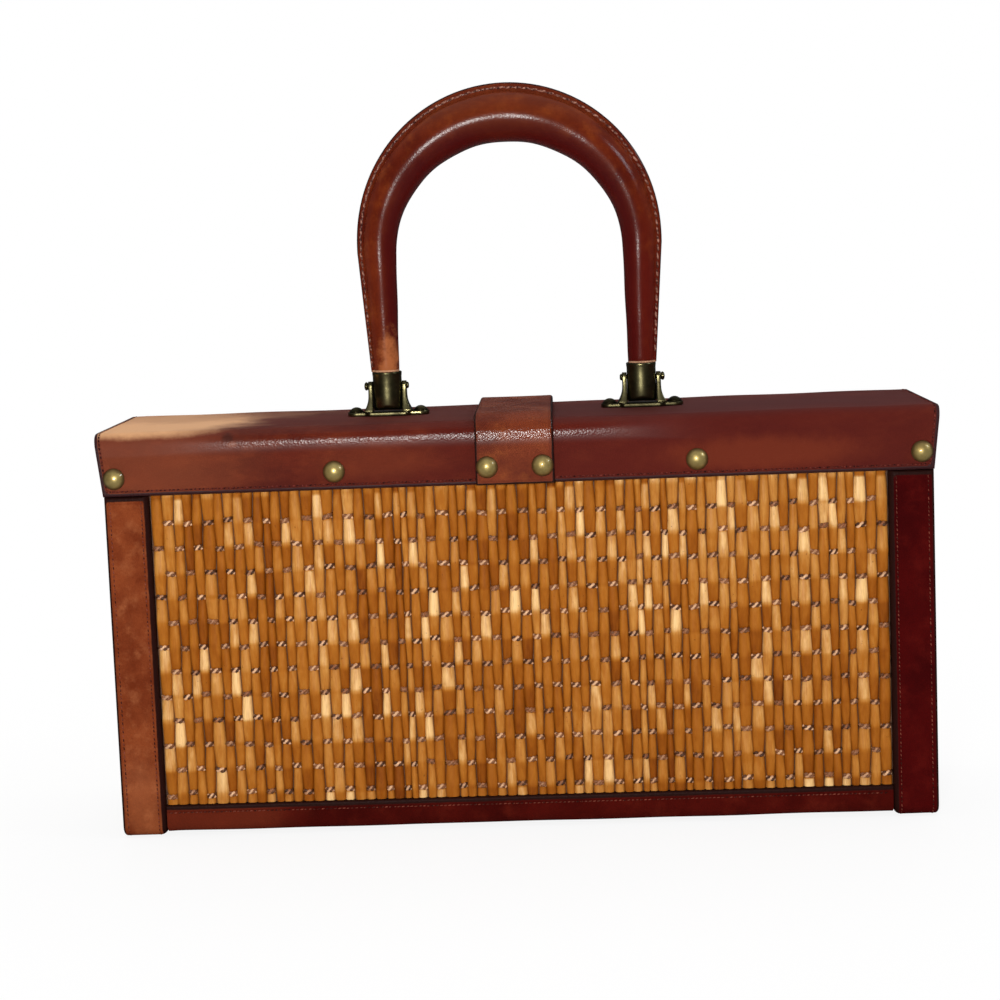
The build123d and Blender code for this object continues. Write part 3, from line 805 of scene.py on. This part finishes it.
# %% [markdown]
# ## Seams of the wrap and the rail
# One seam runs along the top of the wrap, front and back, and one along the foot of the hinge rail.

# %% Seams of the wrap and the rail
seam_inset = 3.2
seam_half = wrap_high[0] - 1.1
case_rows = stitches(*long_seam(seam_half, wrap_high[1], wrap_high[2] - seam_inset, -1))
case_rows += stitches(*long_seam(seam_half, wrap_high[1], wrap_high[2] - seam_inset, 1))
case_rows += stitches(*long_seam(seam_half, rail_face, rail_low[2] + seam_inset, 1))
make_piece("case_stitches", "box", case_thread, case_rows)

# %% [markdown]
# ## Reeds
# Each reed dives under the weft on every second row and bulges between, and neighbours are out of step.
# A displaced plane would only fake this, so every reed is a curved sheet, drawn in a little at its ties.
# Marks carry its tone: reeds differ at random, and a painted highlight makes the stretch above each bulge,
# which faces up to the light, paler than the one below.

# %% Reeds
reed_count, row_count = 75, 12
window_half = front_high[0]
mat_face, mat_low = back_low[1], front_low[2]
foot_margin, head_margin = 4.5, 12.3
row_low = mat_low + foot_margin
row_pitch = (front_high[2] - head_margin - row_low) / (row_count - 1)
chance = np.random.default_rng(7)
reed_tone = chance.random(reed_count)
reed_width = np.clip(chance.normal(1, 0.16, reed_count), 0.68, 1.4)
reed_width *= 2 * window_half / reed_width.sum()
reed_centre = np.cumsum(reed_width) - reed_width / 2 - window_half
bulges, stretches = 10, 20
bulge_tone = chance.random((reed_count, bulges))
# Random strengths of the painted highlight above each bulge.
bulge_highlight_strength = chance.random((reed_count, bulges))
stretch_tone = chance.random((reed_count, stretches))
reed_waist, reed_swell, reed_sway = 0.405, 0.16, 0.20
reed_foot, reed_dip, reed_rise = 0.2, 1.35, 1.4


def reed_sheet(reed, side, heights, across):
    """One reed of a wall; side is -1 for the front and 1 for the back."""
    rows = (heights - row_low) / row_pitch - reed % 2 + 2
    rise = (1 - np.abs(np.mod(rows, 2) - 1))[:, None]
    # The stretch above each bulge faces up to the light; this share says where its painted highlight goes.
    painted_highlight_above_bulge = np.clip((np.mod(rows, 2) - 0.85) / 0.3, 0, 1)
    sway = reed_sway * np.sin(heights * 0.11 + reed * 2.3)[:, None]
    half = reed_width[reed] * (reed_waist + reed_swell * rise**0.6)
    x = np.clip(reed_centre[reed] + sway + half * across, -window_half + 0.1, window_half - 0.1)
    crest = reed_dip + reed_rise * rise**0.9 + 0.12 * math.sin(reed * 5.1)
    y = side * (mat_face + reed_foot + (crest - reed_foot) * (1 - np.abs(across) ** 3.2) ** 0.6)
    z = heights[:, None] + 0 * across
    # The reeds are paler towards the upper right of the wall.
    paler_up_right = 0.16 * np.clip((x[:, :1] - 10) / 60, 0, 1) * np.clip((heights[:, None] - 60) / 60, 0, 1)
    bulge = bulge_tone[reed, (rows / 2).astype(int)]
    stretch = stretch_tone[reed, rows.astype(int)]
    # shine is how strong the painted highlight is on the upward-facing stretch of each bulge.
    shine = 0.08 + 0.42 * bulge_highlight_strength[reed, (rows / 2).astype(int)] ** 2
    tone = 0.26 * reed_tone[reed] + 0.30 * bulge + 0.26 * stretch + shine * painted_highlight_above_bulge - 0.04
    points = np.stack([x + 0 * y, y + 0 * x, z], axis=-1)
    return grid(points, outward=(0, side, 0), tone=tone[:, None] + paler_up_right, flank=np.abs(across))


def reed_sheets(side, high, steps_per_row, columns):
    """All the reeds of one wall, up to a height."""
    rows_z = np.arange(row_low, high - 0.3, row_pitch / steps_per_row)
    heights = np.concatenate([np.linspace(mat_low, row_low, 4)[:-1], rows_z, [high]])
    across = np.linspace(-1, 1, columns)[None, :]
    return [reed_sheet(reed, side, heights, across) for reed in range(reed_count)]


print("reeds:", reed_count, "row pitch:", round(row_pitch, 2))

# %% [markdown]
# ## Reed finish
# Split reed is honey to amber with fine lengthwise streaks and dark specks; a painted shade makes it browner
# along its flanks, where neighbouring reeds meet.
# A colour ramp turns the tone marks into reed colours.

# %% Reed finish
reed_finish, tree, shader = start_material("reed", Specular_IOR_Level=0.04, Coat_Roughness=0.4)
fine = noise(tree, steps(tree, "MULTIPLY", where(tree), (2600.0, 900.0, 60.0))[0], 1.0, 4.0, 0.6)
blotch = noise(tree, steps(tree, "MULTIPLY", where(tree), (420.0, 200.0, 130.0))[0], 1.0, 3.0)
wander = sums(tree, "MULTIPLY", sums(tree, "SUBTRACT", blotch, 0.5), 0.5)
ramp = place(tree, "ShaderNodeValToRGB", {"Fac": sums(tree, "ADD", mark(tree, "tone"), wander)})
reed_tones = [(106, 49, 9), (139, 75, 15), (164, 99, 31), (190, 131, 61), (232, 188, 124)]
stops = np.linspace(0, 1, len(reed_tones))
for stop in stops[1:-1]:
    ramp.color_ramp.elements.new(stop)
for element, stop, tint in zip(ramp.color_ramp.elements, stops, reed_tones):
    element.position = stop
    element.color = dye(*tint)
streak_dye, speck_dye, flank_shade_dye = dye(146, 82, 28), dye(96, 48, 18), dye(112, 58, 18)
colour = mixed(tree, spread(tree, fine, 0.44, 0.78, 0.0, 0.55), ramp.outputs[0], streak_dye)
specks = noise(tree, where(tree), 620.0, 2.0)
colour = mixed(tree, spread(tree, specks, 0.69, 0.80, 0.0, 0.7), colour, speck_dye)
# Painted shade along the flanks, where the reeds dip towards their neighbours.
colour = mixed(tree, spread(tree, mark(tree, "flank"), 0.80, 1.0, 0.0, 0.4), colour, flank_shade_dye)
rough = spread(tree, fine, 0.3, 0.7, 0.38, 0.54)
gloss = spread(tree, mark(tree, "tone"), 0.5, 1.0, 0.0, 0.4)
relief = bumped(tree, fine, 0.25)
connect(tree, shader, {"Base Color": colour, "Roughness": rough, "Coat Weight": gloss, "Normal": relief})
print("reed tones:", len(reed_tones))

# %% [markdown]
# ## Weft
# The weft is a shiny cord of two plies, one of them paler; it shows as a small knot on every second reed.
# Two strands wound round one line make each knot; the paler ply is partly a painted highlight, standing in
# for the light diagonal glints.

# %% Weft
knot_half, knot_depth, knot_hump = 0.43, 0.75, 1.25
ply_reach, ply_girth, ply_flat = 0.74, 0.58, 0.62


def tube(line, girth, around):
    """A tube round a line of points."""
    turns = full_turn(around)
    run = np.gradient(line, axis=0)
    run /= np.linalg.norm(run, axis=1, keepdims=True)
    one = np.cross(run, (0, 0, 1.0))
    one /= np.linalg.norm(one, axis=1, keepdims=True)
    two = np.cross(run, one)
    ring = np.cos(turns)[None, :, None] * one[:, None] + np.sin(turns)[None, :, None] * two[:, None]
    return grid(line[:, None] + girth * ring, ring=True, caps=True, fray=chance.random())


def weft_knots(side, rows, stations, around):
    """The weft of one wall, where it crosses a reed on the outside: pale threads and dark plies."""
    pale, dark = [], []
    t = np.linspace(-1, 1, stations)
    hump = np.cos(t * math.pi / 2) ** 0.7
    for row in range(rows):
        for reed in range(row % 2, reed_count, 2):
            twist = 1.2 + 0.5 * chance.random()
            tilt = chance.normal(0, 0.22)
            lift = chance.normal(0, 0.40)
            x = reed_centre[reed] + knot_half * reed_width[reed] * t
            x = np.clip(x, -window_half + 0.5, window_half - 0.5)
            for phase, bundle in ((0.0, pale), (1.0, dark)):
                wind = math.pi * (phase + 0.2 + t * twist)
                y = side * (mat_face + knot_depth + knot_hump * hump + ply_flat * ply_reach * np.cos(wind))
                z = row_low + row * row_pitch + lift + ply_reach * np.sin(wind) + tilt * t
                bundle.append(tube(np.stack([x, y, z], axis=1), ply_girth, around))
    return pale, dark


def cord_finish(name, dark, light, rough):
    """Twisted cord in two tones."""
    material, tree, shader = start_material(name, Specular_IOR_Level=0.35)
    fibres = noise(tree, where(tree), 1500.0, 3.0)
    frayed = sums(tree, "MULTIPLY", mark(tree, "fray"), 0.5)
    share = sums(tree, "ADD", sums(tree, "MULTIPLY", fibres, 0.6), frayed)
    tone = mixed(tree, spread(tree, share, 0.25, 0.85), dye(*dark), dye(*light))
    twisted = spread(tree, fibres, 0.3, 0.7, rough, rough + 0.15)
    connect(tree, shader, {"Base Color": tone, "Roughness": twisted})
    return material


# The pale ply's colour is partly real and partly a painted highlight for the glints.
pale_glint_cord = cord_finish("weft_pale", (140, 86, 54), (226, 180, 140), 0.24)
dark_cord = cord_finish("weft_dark", (66, 34, 16), (136, 86, 52), 0.34)
print("cords:", pale_glint_cord.name, dark_cord.name)

# %% [markdown]
# ## Matting on the front and the back
# Both walls have the same mat.
# The back one ends under the hinge rail, and is made a little coarser because it is seen less.

# %% Matting on the front and the back
for wall, side, high, fineness, rows, cord in (
    ("front", -1, front_high[2], (8, 9), row_count, (9, 6)), ("back", 1, back_high[2], (6, 7), 10, (7, 5)),
):
    mat = wall + "_reed_mat"
    make_piece(mat, "box", reed_finish, reed_sheets(side, high, *fineness), [mat])
    pale, dark = weft_knots(side, rows, *cord)
    make_piece(wall + "_weft_pale", "box", pale_glint_cord, pale)
    make_piece(wall + "_weft_dark", "box", dark_cord, dark)

# %% [markdown]
# ## Lid
# One hide goes up the lid's front, over its shoulders and down the back, and its raw ends lean outward.
# A wide strap crosses the middle.

# %% Lid
lid_shoulder, lid_thickness, lid_flare, lid_step = 6.7, 2.2, 3.0, 1.1
lid_height = lid_high[2] - lid_low[2]
lid_half = lid_high[0] - lid_flare
lid_path, lid_outs = hanging_path(*bend(lid_high[1], lid_height, lid_shoulder, lid_step), lid_high[2])
lid_reach = lid_half + lid_flare * (lid_path[:, 2] - lid_low[2]) / lid_height
cover = strip(lid_path, lid_outs, along_x, -lid_reach, lid_reach, lid_thickness, (0.8, 0.8),
              fill=130, uneven=0.22, seed=3)
make_piece("lid_cover", "lid", lid_leather, [cover], ["lid_cover"])
strap_thickness, strap_gap = 3.2, 0.05
strap_corner = lid_shoulder + strap_gap + strap_thickness
strap_height = strap_high[2] - strap_low[2]
strap_bend = bend(strap_high[1], strap_height, strap_corner, lid_step)
strap_path, strap_outs = hanging_path(*strap_bend, strap_high[2])
strap = strip(strap_path, strap_outs, along_x, strap_low[0], strap_high[0], strap_thickness, (1.3, 1.3),
              fill=22, uneven=0.2, seed=5)
make_piece("lid_strap", "lid", strap_leather, [strap], ["lid_strap"])

# %% [markdown]
# ## Ends of the lid
# Flat panels close the ends of the lid.
# They lean with the cover and have its rounded shoulders, so their width shrinks near the top.

# %% Ends of the lid
shell_round = lid_shoulder - lid_thickness - strap_gap
lid_end_thickness, lid_end_step = 1.45, 0.9
for name, side in (("lid_left_end_cover", -1), ("lid_right_end_cover", 1)):
    panel_low, panel_high = corners(name)
    panel_height = panel_high[2] - panel_low[2]
    lean = lid_flare * panel_height / lid_height
    outer = panel_high[0] if side > 0 else panel_low[0]
    top = np.array([outer, 0, panel_high[2]])
    foot = np.array([outer - side * lean, 0, panel_low[2]])
    out = np.array([side * panel_height, 0, -lean]) / math.hypot(panel_height, lean)
    end_path, end_outs = straight_path(foot, top, out, lid_end_step)
    past = np.clip(end_path[:, 2] - (panel_high[2] - shell_round), 0, shell_round)
    half = panel_high[1] - (shell_round - np.sqrt(shell_round**2 - past**2))
    end = strip(end_path, end_outs, along_y, -half, half, lid_end_thickness, cut_round,
                fill=26, uneven=0.1, sides=False, end_round=0.4)
    make_piece(name, "lid", lid_leather, [end], [name])

# %% [markdown]
# ## Seams of the lid
# A fine seam runs just above the lid's lower edge, on the front and the back.
# Another follows each raw end over the top.

# %% Seams of the lid
lid_seam, end_seam, lid_thread_width = 2.3, 2.1, 0.36
lid_rows = []
for side in (-1, 1):
    foot_line = long_seam(lid_half - 1.5, lid_high[1], lid_low[2] + lid_seam, side)
    end_line = lane(lid_path, lid_outs, along_x, side * (lid_reach - end_seam), 0.02)
    for line, skip in ((foot_line, 1.5), (end_line, 2.6)):
        lid_rows += stitches(*line, width=lid_thread_width, skip=skip)
make_piece("lid_stitches", "lid", lid_thread, lid_rows)

# %% [markdown]
# ## Handle grip
# Leather is sewn over a round arched core, and its two cut edges stand up along the outside as a seam.
# The outline is a circle with a fin, swept up one leg, over the arch and down the other.

# %% Handle grip
ferrule_top = ferrule_high[2]
worn_leg = ((-leg_x + 1.6, -5, 201), (3.8, 12, 11), 2.4, 240.0, 0.7, (190, 112, 64), 0.65)
red_leg = ((leg_x + 4, -5, 214), (7, 12, 42), 0.6, 90.0, 0.6, (78, 12, 10), 0.75)
lip_z = ferrule_top + 0.35
raw_lips = [((x, 0, lip_z), (9, 9, 0.5), 0.7, 300.0, 0.4, (220, 170, 134), 0.7) for x in (-leg_x, leg_x)]
handle_dyes = ((74, 19, 9), (98, 34, 14), (126, 58, 22))
# The top of the arch is paler, partly where hands rubbed it and partly a painted highlight.
rubbed_top_and_highlight = ((0, -8, 314), (58, 16, 12), 0.8, 70.0, 0.6, (130, 62, 24), 0.2)
handle_patches = [worn_leg, red_leg, rubbed_top_and_highlight] + raw_lips
# The inside of the arch is tinted darker, a painted shade where the grip faces down, away from the light.
handle_leather = leather("handle_leather", handle_dyes, 44.0, handle_patches, 0.7, wax=(0.16, 0, 100, 0.22),
                         edge_tint=(40, 16, 15), inner=(64, 9, 10), depth=0.12)
stub_radius, foot_radius, leg_radius, top_radius = 5.3, 5.6, 7.25, 11.0
stub_seam, foot_seam, leg_seam, top_seam = 0.6, 1.3, 2.9, 3.8
arch_radius = leg_x + 0.7
arch_centre = grip_top - arch_radius - top_radius - top_seam
foot_z = ferrule_top + 0.1


def leg_station(side, share):
    """A station of a leg: place, outward direction, radius and height of the seam."""
    x = leg_x + share * (arch_radius - leg_x)
    z = foot_z + share * (arch_centre - foot_z)
    radius = foot_radius + share * (leg_radius - foot_radius)
    return side * x, z, side, 0, radius, foot_seam + share * (leg_seam - foot_seam)


def leg_stations(side):
    """Stations up one leg, from a plain stub inside its ferrule."""
    stub = [(side * leg_x, ferrule_top - drop, side, 0, stub_radius, stub_seam) for drop in (2.6, 0.3)]
    return stub + [leg_station(side, number / 22) for number in range(22)]


def arch_station(angle):
    """A station of the arch, at an angle from its left foot."""
    swell = abs(math.sin(angle)) ** 1.3
    out = (-math.cos(angle), math.sin(angle))
    radius = leg_radius + swell * (top_radius - leg_radius)
    seam = leg_seam + swell * (top_seam - leg_seam)
    return arch_radius * out[0], arch_centre + arch_radius * out[1], *out, radius, seam


stations = leg_stations(-1)
stations += [arch_station(angle) for angle in np.linspace(0, math.pi, 73)]
stations += leg_stations(1)[::-1]
fin = [(0.10, 1.18), (0.40, 1.20), (0.75, 1.10), (0.93, 0.75), (1.0, 0.0)]
fin_rims = [2.4, 1.6, 0.8, 0.4, 0.0, 0.4, 0.8, 1.6, 2.4]
fin_gap, fin_sink, round_points = 1.55, 0.15, 37
rings, rims, turned = [], [], []
for number, (x, z, out_x, out_z, radius, seam) in enumerate(stations):
    start = math.asin(fin_gap / radius)
    angles = np.linspace(start, 2 * math.pi - start, round_points)
    swollen = radius * (1 + 0.012 * math.sin(number * 0.55) * np.cos(angles * 2))
    root = radius - fin_sink
    left = [(root + share * (seam + fin_sink), -half) for share, half in fin]
    outline = [(r * math.cos(a), r * math.sin(a)) for a, r in zip(angles, swollen)] + left
    outline += [(past, -half) for past, half in reversed(left[:-1])]
    centre = np.array([x, 0, z])
    out = np.array([out_x, 0, out_z])
    rings.append([centre + past * out + half * np.array(along_y) for past, half in outline])
    rims.append([back_rim] * round_points + fin_rims)
    # The inner mark grows towards the inside of the arch, where that painted shade goes.
    turned.append([0.5 - 0.5 * math.cos(a) for a in angles] + [0.0] * len(fin_rims))
grip = grid(rings, ring=True, caps=True, rim=rims, inner=turned)
make_piece("handle_grip", "handle", handle_leather, [grip], ["handle_grip"])

# %% [markdown]
# ## Seam of the grip
# The fin is sewn through from both sides with pale thread, so a row of stitches lies on each face of it.

# %% Seam of the grip
seam_share, fin_half = 0.4, 1.2
grip_rows = []
for side in (-1, 1):
    points = []
    for x, z, out_x, out_z, radius, seam in stations[3:-3]:
        past = radius + seam_share * seam
        points.append((x + out_x * past, side * fin_half, z + out_z * past))
    outs = np.broadcast_to(np.array([0, side, 0.0]), (len(points), 3))
    grip_rows += stitches(np.array(points), outs, pitch=3.7, length=3.0, width=0.50, height=0.42)
grip_thread = thread("grip_thread", (66, 32, 27), (166, 116, 99))
make_piece("grip_stitches", "handle", grip_thread, grip_rows)

# %% [markdown]
# ## Brass
# The studs are olive gold, and a painted shade turns them brown at the rim.
# The fittings of the handle have darkened to an olive brown.
# Edges of the solids are sharp, so a bevel in the finish rounds their shading and lets them catch the light.


# %% Brass
def brass(name, bright, dull, scale, shine, rim_shade_tint, metallic=1.0, glaze=0.0):
    """Metal that has dulled in patches, with a painted shade where a head meets the leather."""
    material, tree, shader = start_material(name, Metallic=metallic, Coat_Weight=glaze, Coat_Roughness=0.08)
    values = {"Bright": dye(*bright), "Dull": dye(*dull), "Scale": scale, "Shine": shine}
    stain = use_group(tree, tarnish_group, values)
    rimmed = spread(tree, mark(tree, "rimmed"), 0.25, 0.9, 0.0, 0.85)
    tinted = mixed(tree, rimmed, stain["Color"], dye(*rim_shade_tint))
    softened = place(tree, "ShaderNodeBevel", {"Radius": 0.0005}, samples=4).outputs[0]
    relief = bumped(tree, stain["Height"], 0.10, Normal=softened)
    connect(tree, shader, {"Base Color": tinted, "Roughness": stain["Roughness"], "Normal": relief})
    return material


stud_brass = brass("stud_brass", (190, 168, 104), (152, 130, 74), 160.0, 0.36, (88, 62, 28), 0.75, 0.5)
antique_brass = brass("antique_brass", (112, 106, 74), (60, 56, 38), 110.0, 0.25, (44, 38, 24))
hinge_brass = brass("hinge_brass", (150, 130, 78), (100, 82, 46), 120.0, 0.24, (80, 62, 34))
catch_steel = brass("catch_steel", (176, 176, 178), (120, 120, 122), 150.0, 0.28, (90, 90, 92))
print("metals:", stud_brass.name, antique_brass.name, hinge_brass.name, catch_steel.name)

# %% [markdown]
# ## Studs, nails and screws
# Round heads are turned on a lathe, so here a profile is spun round an axis.
# The studs hold the hide and the strap, the nails hold the brackets, and small screws hold the hinges.


# %% Studs, nails and screws
def turned_head(centre, out, radius, height, around=28):
    """A domed head spun round its axis, with a small upright rim."""
    out = np.array(out, float)
    one = np.cross(out, along_x)
    two = np.cross(out, one)
    ball = (radius**2 + height**2) / (2 * height)
    leans = np.linspace(math.asin(radius / ball), 0.03, 9)[1:]
    dome = [(0.985 * ball * math.sin(a), height - ball + ball * math.cos(a) + 0.02) for a in leans]
    profile = [(radius * 0.97, 0.0), (radius, 0.25)] + dome
    turns = full_turn(around)
    ring = np.cos(turns)[:, None] * one + np.sin(turns)[:, None] * two
    rows = [np.array(centre) + out * rise + ring * reach for reach, rise in profile]
    # The rim mark says where the painted shade round the head goes.
    rimmed = [[max(0.0, reach / radius * 2 - 1)] for reach, rise in profile]
    return grid(rows, ring=True, caps=True, rimmed=rimmed)


stud_radius, stud_height = 4.7, 2.8
stud_z = lid_low[2] + 7.8
lid_stud_x, strap_stud_x = (lid_half - 5.2, 77.4), 11.8
studs = []
for side in (-1, 1):
    for end in (-1, 1):
        for x, face in [(x, lid_high[1]) for x in lid_stud_x] + [(strap_stud_x, strap_high[1])]:
            studs.append(turned_head((end * x, side * face, stud_z), (0, side, 0), stud_radius, stud_height))
make_piece("lid_studs", "lid", stud_brass, studs, ["lid_studs"])
nail_radius, nail_height, nail_reach, plate_thickness = 3.4, 2.2, 14.4, 1.8
plate_top = lid_high[2] + plate_thickness
nail_x = [side * leg_x + end * nail_reach for side in (-1, 1) for end in (-1, 1)]
nails = [turned_head((x, 0, plate_top), (0, 0, 1), nail_radius, nail_height) for x in nail_x]
make_piece("bracket_nails", "lid", antique_brass, nails, ["bracket_nails"])
screw_radius, screw_height, screw_reach, screw_rise, leaf_thickness = 1.9, 0.6, 11.0, 6.75, 0.9
hinge_z = (rail_high[2] + lid_low[2]) / 2
hinge_x = (lid_stud_x[0] + lid_stud_x[1]) / 2
leaf_face = rail_face + leaf_thickness
for body, rise in (("box", -screw_rise), ("lid", screw_rise)):
    screw_x = [side * hinge_x + end * screw_reach for side in (-1, 1) for end in (-1, 1)]
    screw_places = [(x, leaf_face, hinge_z + rise) for x in screw_x]
    heads = [turned_head(spot, (0, 1, 0), screw_radius, screw_height, 18) for spot in screw_places]
    make_piece("hinge_screws_" + body, body, hinge_brass, heads)

# %% [markdown]
# ## Ferrules and pins
# Each leg of the grip sits in a turned cup with a rolled rim.
# The cup's foot is rounded, so that it can swing on its pin.
# The pins have a ball on the outer end and a low rivet head on the inner one.


# %% Ferrules and pins
def ferrule_cup(side):
    """A cup: up its outside from the middle of the foot, over the rim and down the hollow."""
    turns = full_turn(48)
    radius = (ferrule_high[0] - ferrule_low[0]) / 2
    swing = pin_z - ferrule_low[2]
    wall = [(0, 0.02), (0, 0.5), (0, 0.92), (0.015, 0.975), (0.05, 1), (0.35, 1), (0.65, 1), (0.88, 1)]
    rolled = [(0.92, 1.015), (0.95, 1.025), (0.985, 1.02), (1, 0.99), (1, 0.95), (0.985, 0.915), (0.9, 0.9)]
    hollow = [(0.84, 0.9), (0.84, 0.02)]
    rows = []
    for share, reach in wall + rolled + hollow:
        foot = pin_z - np.sqrt(swing**2 - (min(reach, 1) * radius * np.sin(turns)) ** 2)
        x, y = side * leg_x + reach * radius * np.cos(turns), reach * radius * np.sin(turns)
        rows.append(np.stack([x, y, foot + share * (ferrule_top - foot)], axis=1))
    return grid(rows, ring=True, caps=True)


def pin_turning(side):
    """A pin from its inner rivet head to its outer ball."""
    turns = full_turn(24)
    end = pins_high[0] - leg_x
    knob = (pins_high[2] - pins_low[2]) / 2
    shoulder = end - 1.8
    rivet = [(1.0, 0.05), (0.95, 0.5), (0.6, 0.75), (0, 0.8), (0, 0.5)]
    ball = [(0, 0.5), (0, 0.75), (0.4, 0.93), (0.9, 1), (1.35, 0.88)]
    profile = [(-shoulder - past, reach) for past, reach in rivet]
    profile += [(shoulder + past, reach) for past, reach in ball] + [(end - 0.15, 0.55), (end, 0.05)]
    rows = []
    for past, reach in profile:
        x = np.full_like(turns, side * (leg_x + past))
        rows.append(np.stack([x, reach * knob * np.cos(turns), pin_z + reach * knob * np.sin(turns)], axis=1))
    return grid(rows, ring=True, caps=True)


for name, side in (("left_ferrule", -1), ("right_ferrule", 1)):
    make_piece(name, "handle", antique_brass, [ferrule_cup(side)], [name])
pins = [pin_turning(side) for side in (-1, 1)]
make_piece("bracket_pins", "lid", antique_brass, pins, ["bracket_pins"])

# %% [markdown]
# ## Brackets
# Each bracket is stamped from one sheet: a plate with two ears for the nails, and two cheeks for the pin.
# The cheeks spread into the plate at their feet, so both are swept outlines that change width on the way.


# %% Brackets
ear_radius, plate_half, foot_half = 3.8, 5.5, 9.5
cheek_inner, cheek_outer, cheek_spread = 6.55, 8.55, 2.4
cheek_foot_half, spread_height = 4.8, 7.5
cheek_rise = pin_z - plate_top
eye_radius = plate_high[2] - pin_z


def rounded(half_long, half_wide, corner):
    """A rectangle with rounded corners, as a ring of points round its middle."""
    points = []
    for quarter, (one, two) in enumerate(((1, 1), (-1, 1), (-1, -1), (1, -1))):
        for angle in np.radians(np.linspace(0, 90, 4)) + quarter * math.pi / 2:
            points.append((one * (half_long - corner) + corner * math.cos(angle),
                           two * (half_wide - corner) + corner * math.sin(angle)))
    return np.array(points)


def plate_grid(side):
    """The plate, swept along the bag from ear to ear."""
    rows = []
    tip = nail_reach + ear_radius
    middle = np.linspace(past_ends - tip, tip - past_ends, 45)
    for x in np.concatenate([-tip + near_ends, middle, tip - near_ends[::-1]]):
        past = max(0.0, abs(x) - nail_reach)
        ear = math.sqrt(max(0.3, ear_radius**2 - past**2))
        half = max(ear, plate_half - 1.7 * max(0.0, abs(x) - foot_half + 1))
        ring = rounded(half, plate_thickness / 2, min(0.5, half / 2))
        z = ring[:, 1] + lid_high[2] + plate_thickness / 2
        rows.append(np.stack([np.full(len(ring), side * leg_x + x), ring[:, 0], z], axis=1))
    return grid(rows, ring=True, caps=True)


def cheek_grid(side, end):
    """One cheek, swept up from the plate to the eye round the pin."""
    rows = []
    top = cheek_rise + eye_radius
    eye = cheek_rise + eye_radius * np.sin(np.linspace(0.2, 1.5, 8))
    for rise in np.concatenate([np.linspace(0, cheek_rise, 16), eye]):
        past = max(0.0, rise - cheek_rise)
        half = eye_radius + (cheek_foot_half - eye_radius) * max(0.0, 1 - rise / cheek_rise) ** 1.3
        half = math.sqrt(max(0.1, eye_radius**2 - past**2)) if past else half
        outer = cheek_outer + cheek_spread * max(0.0, 1 - rise / spread_height) ** 2.2
        ring = rounded((outer - cheek_inner) / 2, half, min(0.45, half / 2))
        x = side * leg_x + end * (ring[:, 0] + (outer + cheek_inner) / 2)
        rows.append(np.stack([x, ring[:, 1], np.full(len(ring), plate_top + min(rise, top))], axis=1))
    return grid(rows, ring=True, caps=True)


for name, side in (("left_bracket", -1), ("right_bracket", 1)):
    cheeks = [cheek_grid(side, end) for end in (-1, 1)]
    make_piece(name, "lid", antique_brass, [plate_grid(side)] + cheeks, [name])

# %% [markdown]
# ## Boards and lining
# Inside, the boards are plain brown wood and the lining is a woven cotton.
# Long stretched noise draws the wood's fibre, and two crossed waves draw the cloth's threads.

# %% Boards and lining
board_finish, tree, shader = start_material("board", Roughness=0.7)
figure = noise(tree, steps(tree, "MULTIPLY", where(tree), (40.0, 300.0, 300.0))[0], 1.0, 5.0)
wood = mixed(tree, spread(tree, figure, 0.35, 0.7), dye(66, 38, 20), dye(104, 66, 38))
connect(tree, shader, {"Base Color": wood})
lining_finish, tree, shader = start_material("lining", Roughness=0.85)
ground = where(tree)
wave_inputs = {"Vector": ground, "Scale": 420.0, "Distortion": 0.6}
threads = [place(tree, "ShaderNodeTexWave", wave_inputs, bands_direction=way).outputs["Fac"] for way in "XZ"]
woven = sums(tree, "MULTIPLY", sums(tree, "ADD", *threads), 0.5)
cloth = mixed(tree, woven, dye(146, 112, 74), dye(196, 164, 120))
stains = spread(tree, noise(tree, ground, 14.0, 4.0), 0.4, 0.75, 0.0, 0.4)
cloth = mixed(tree, stains, cloth, dye(128, 94, 60))
connect(tree, shader, {"Base Color": cloth, "Normal": bumped(tree, woven, 0.3)})
print("inside finishes:", board_finish.name, lining_finish.name)

# %% [markdown]
# ## Solids that keep their shape
# Boards, lining, hinges and the hidden catch are right as solids, so they only get a finish.

# %% Solids that keep their shape
boards = ["front_board", "back_board", "left_end_board", "right_end_board", "bottom_board", "lid_shell"]
kept = {
    board_finish: boards,
    lining_finish: ["box_lining", "lid_lining"],
    hinge_brass: ["hinge_box_leaves", "hinge_lid_leaves", "hinge_pins"],
    catch_steel: ["catch_keeper", "catch_magnet"],
}
for finish, nodes in kept.items():
    for node in nodes:
        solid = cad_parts[node]
        solid.data.materials.clear()
        solid.data.materials.append(finish)
print("finished solids:", sum(len(nodes) for nodes in kept.values()))

# %% [markdown]
# ## Final update
# The view layer is brought up to date, so that every dressed piece stands on its body. The dressed bag
# has to stay inside the box of the solids.

# %% Final update
bpy.context.view_layer.update()
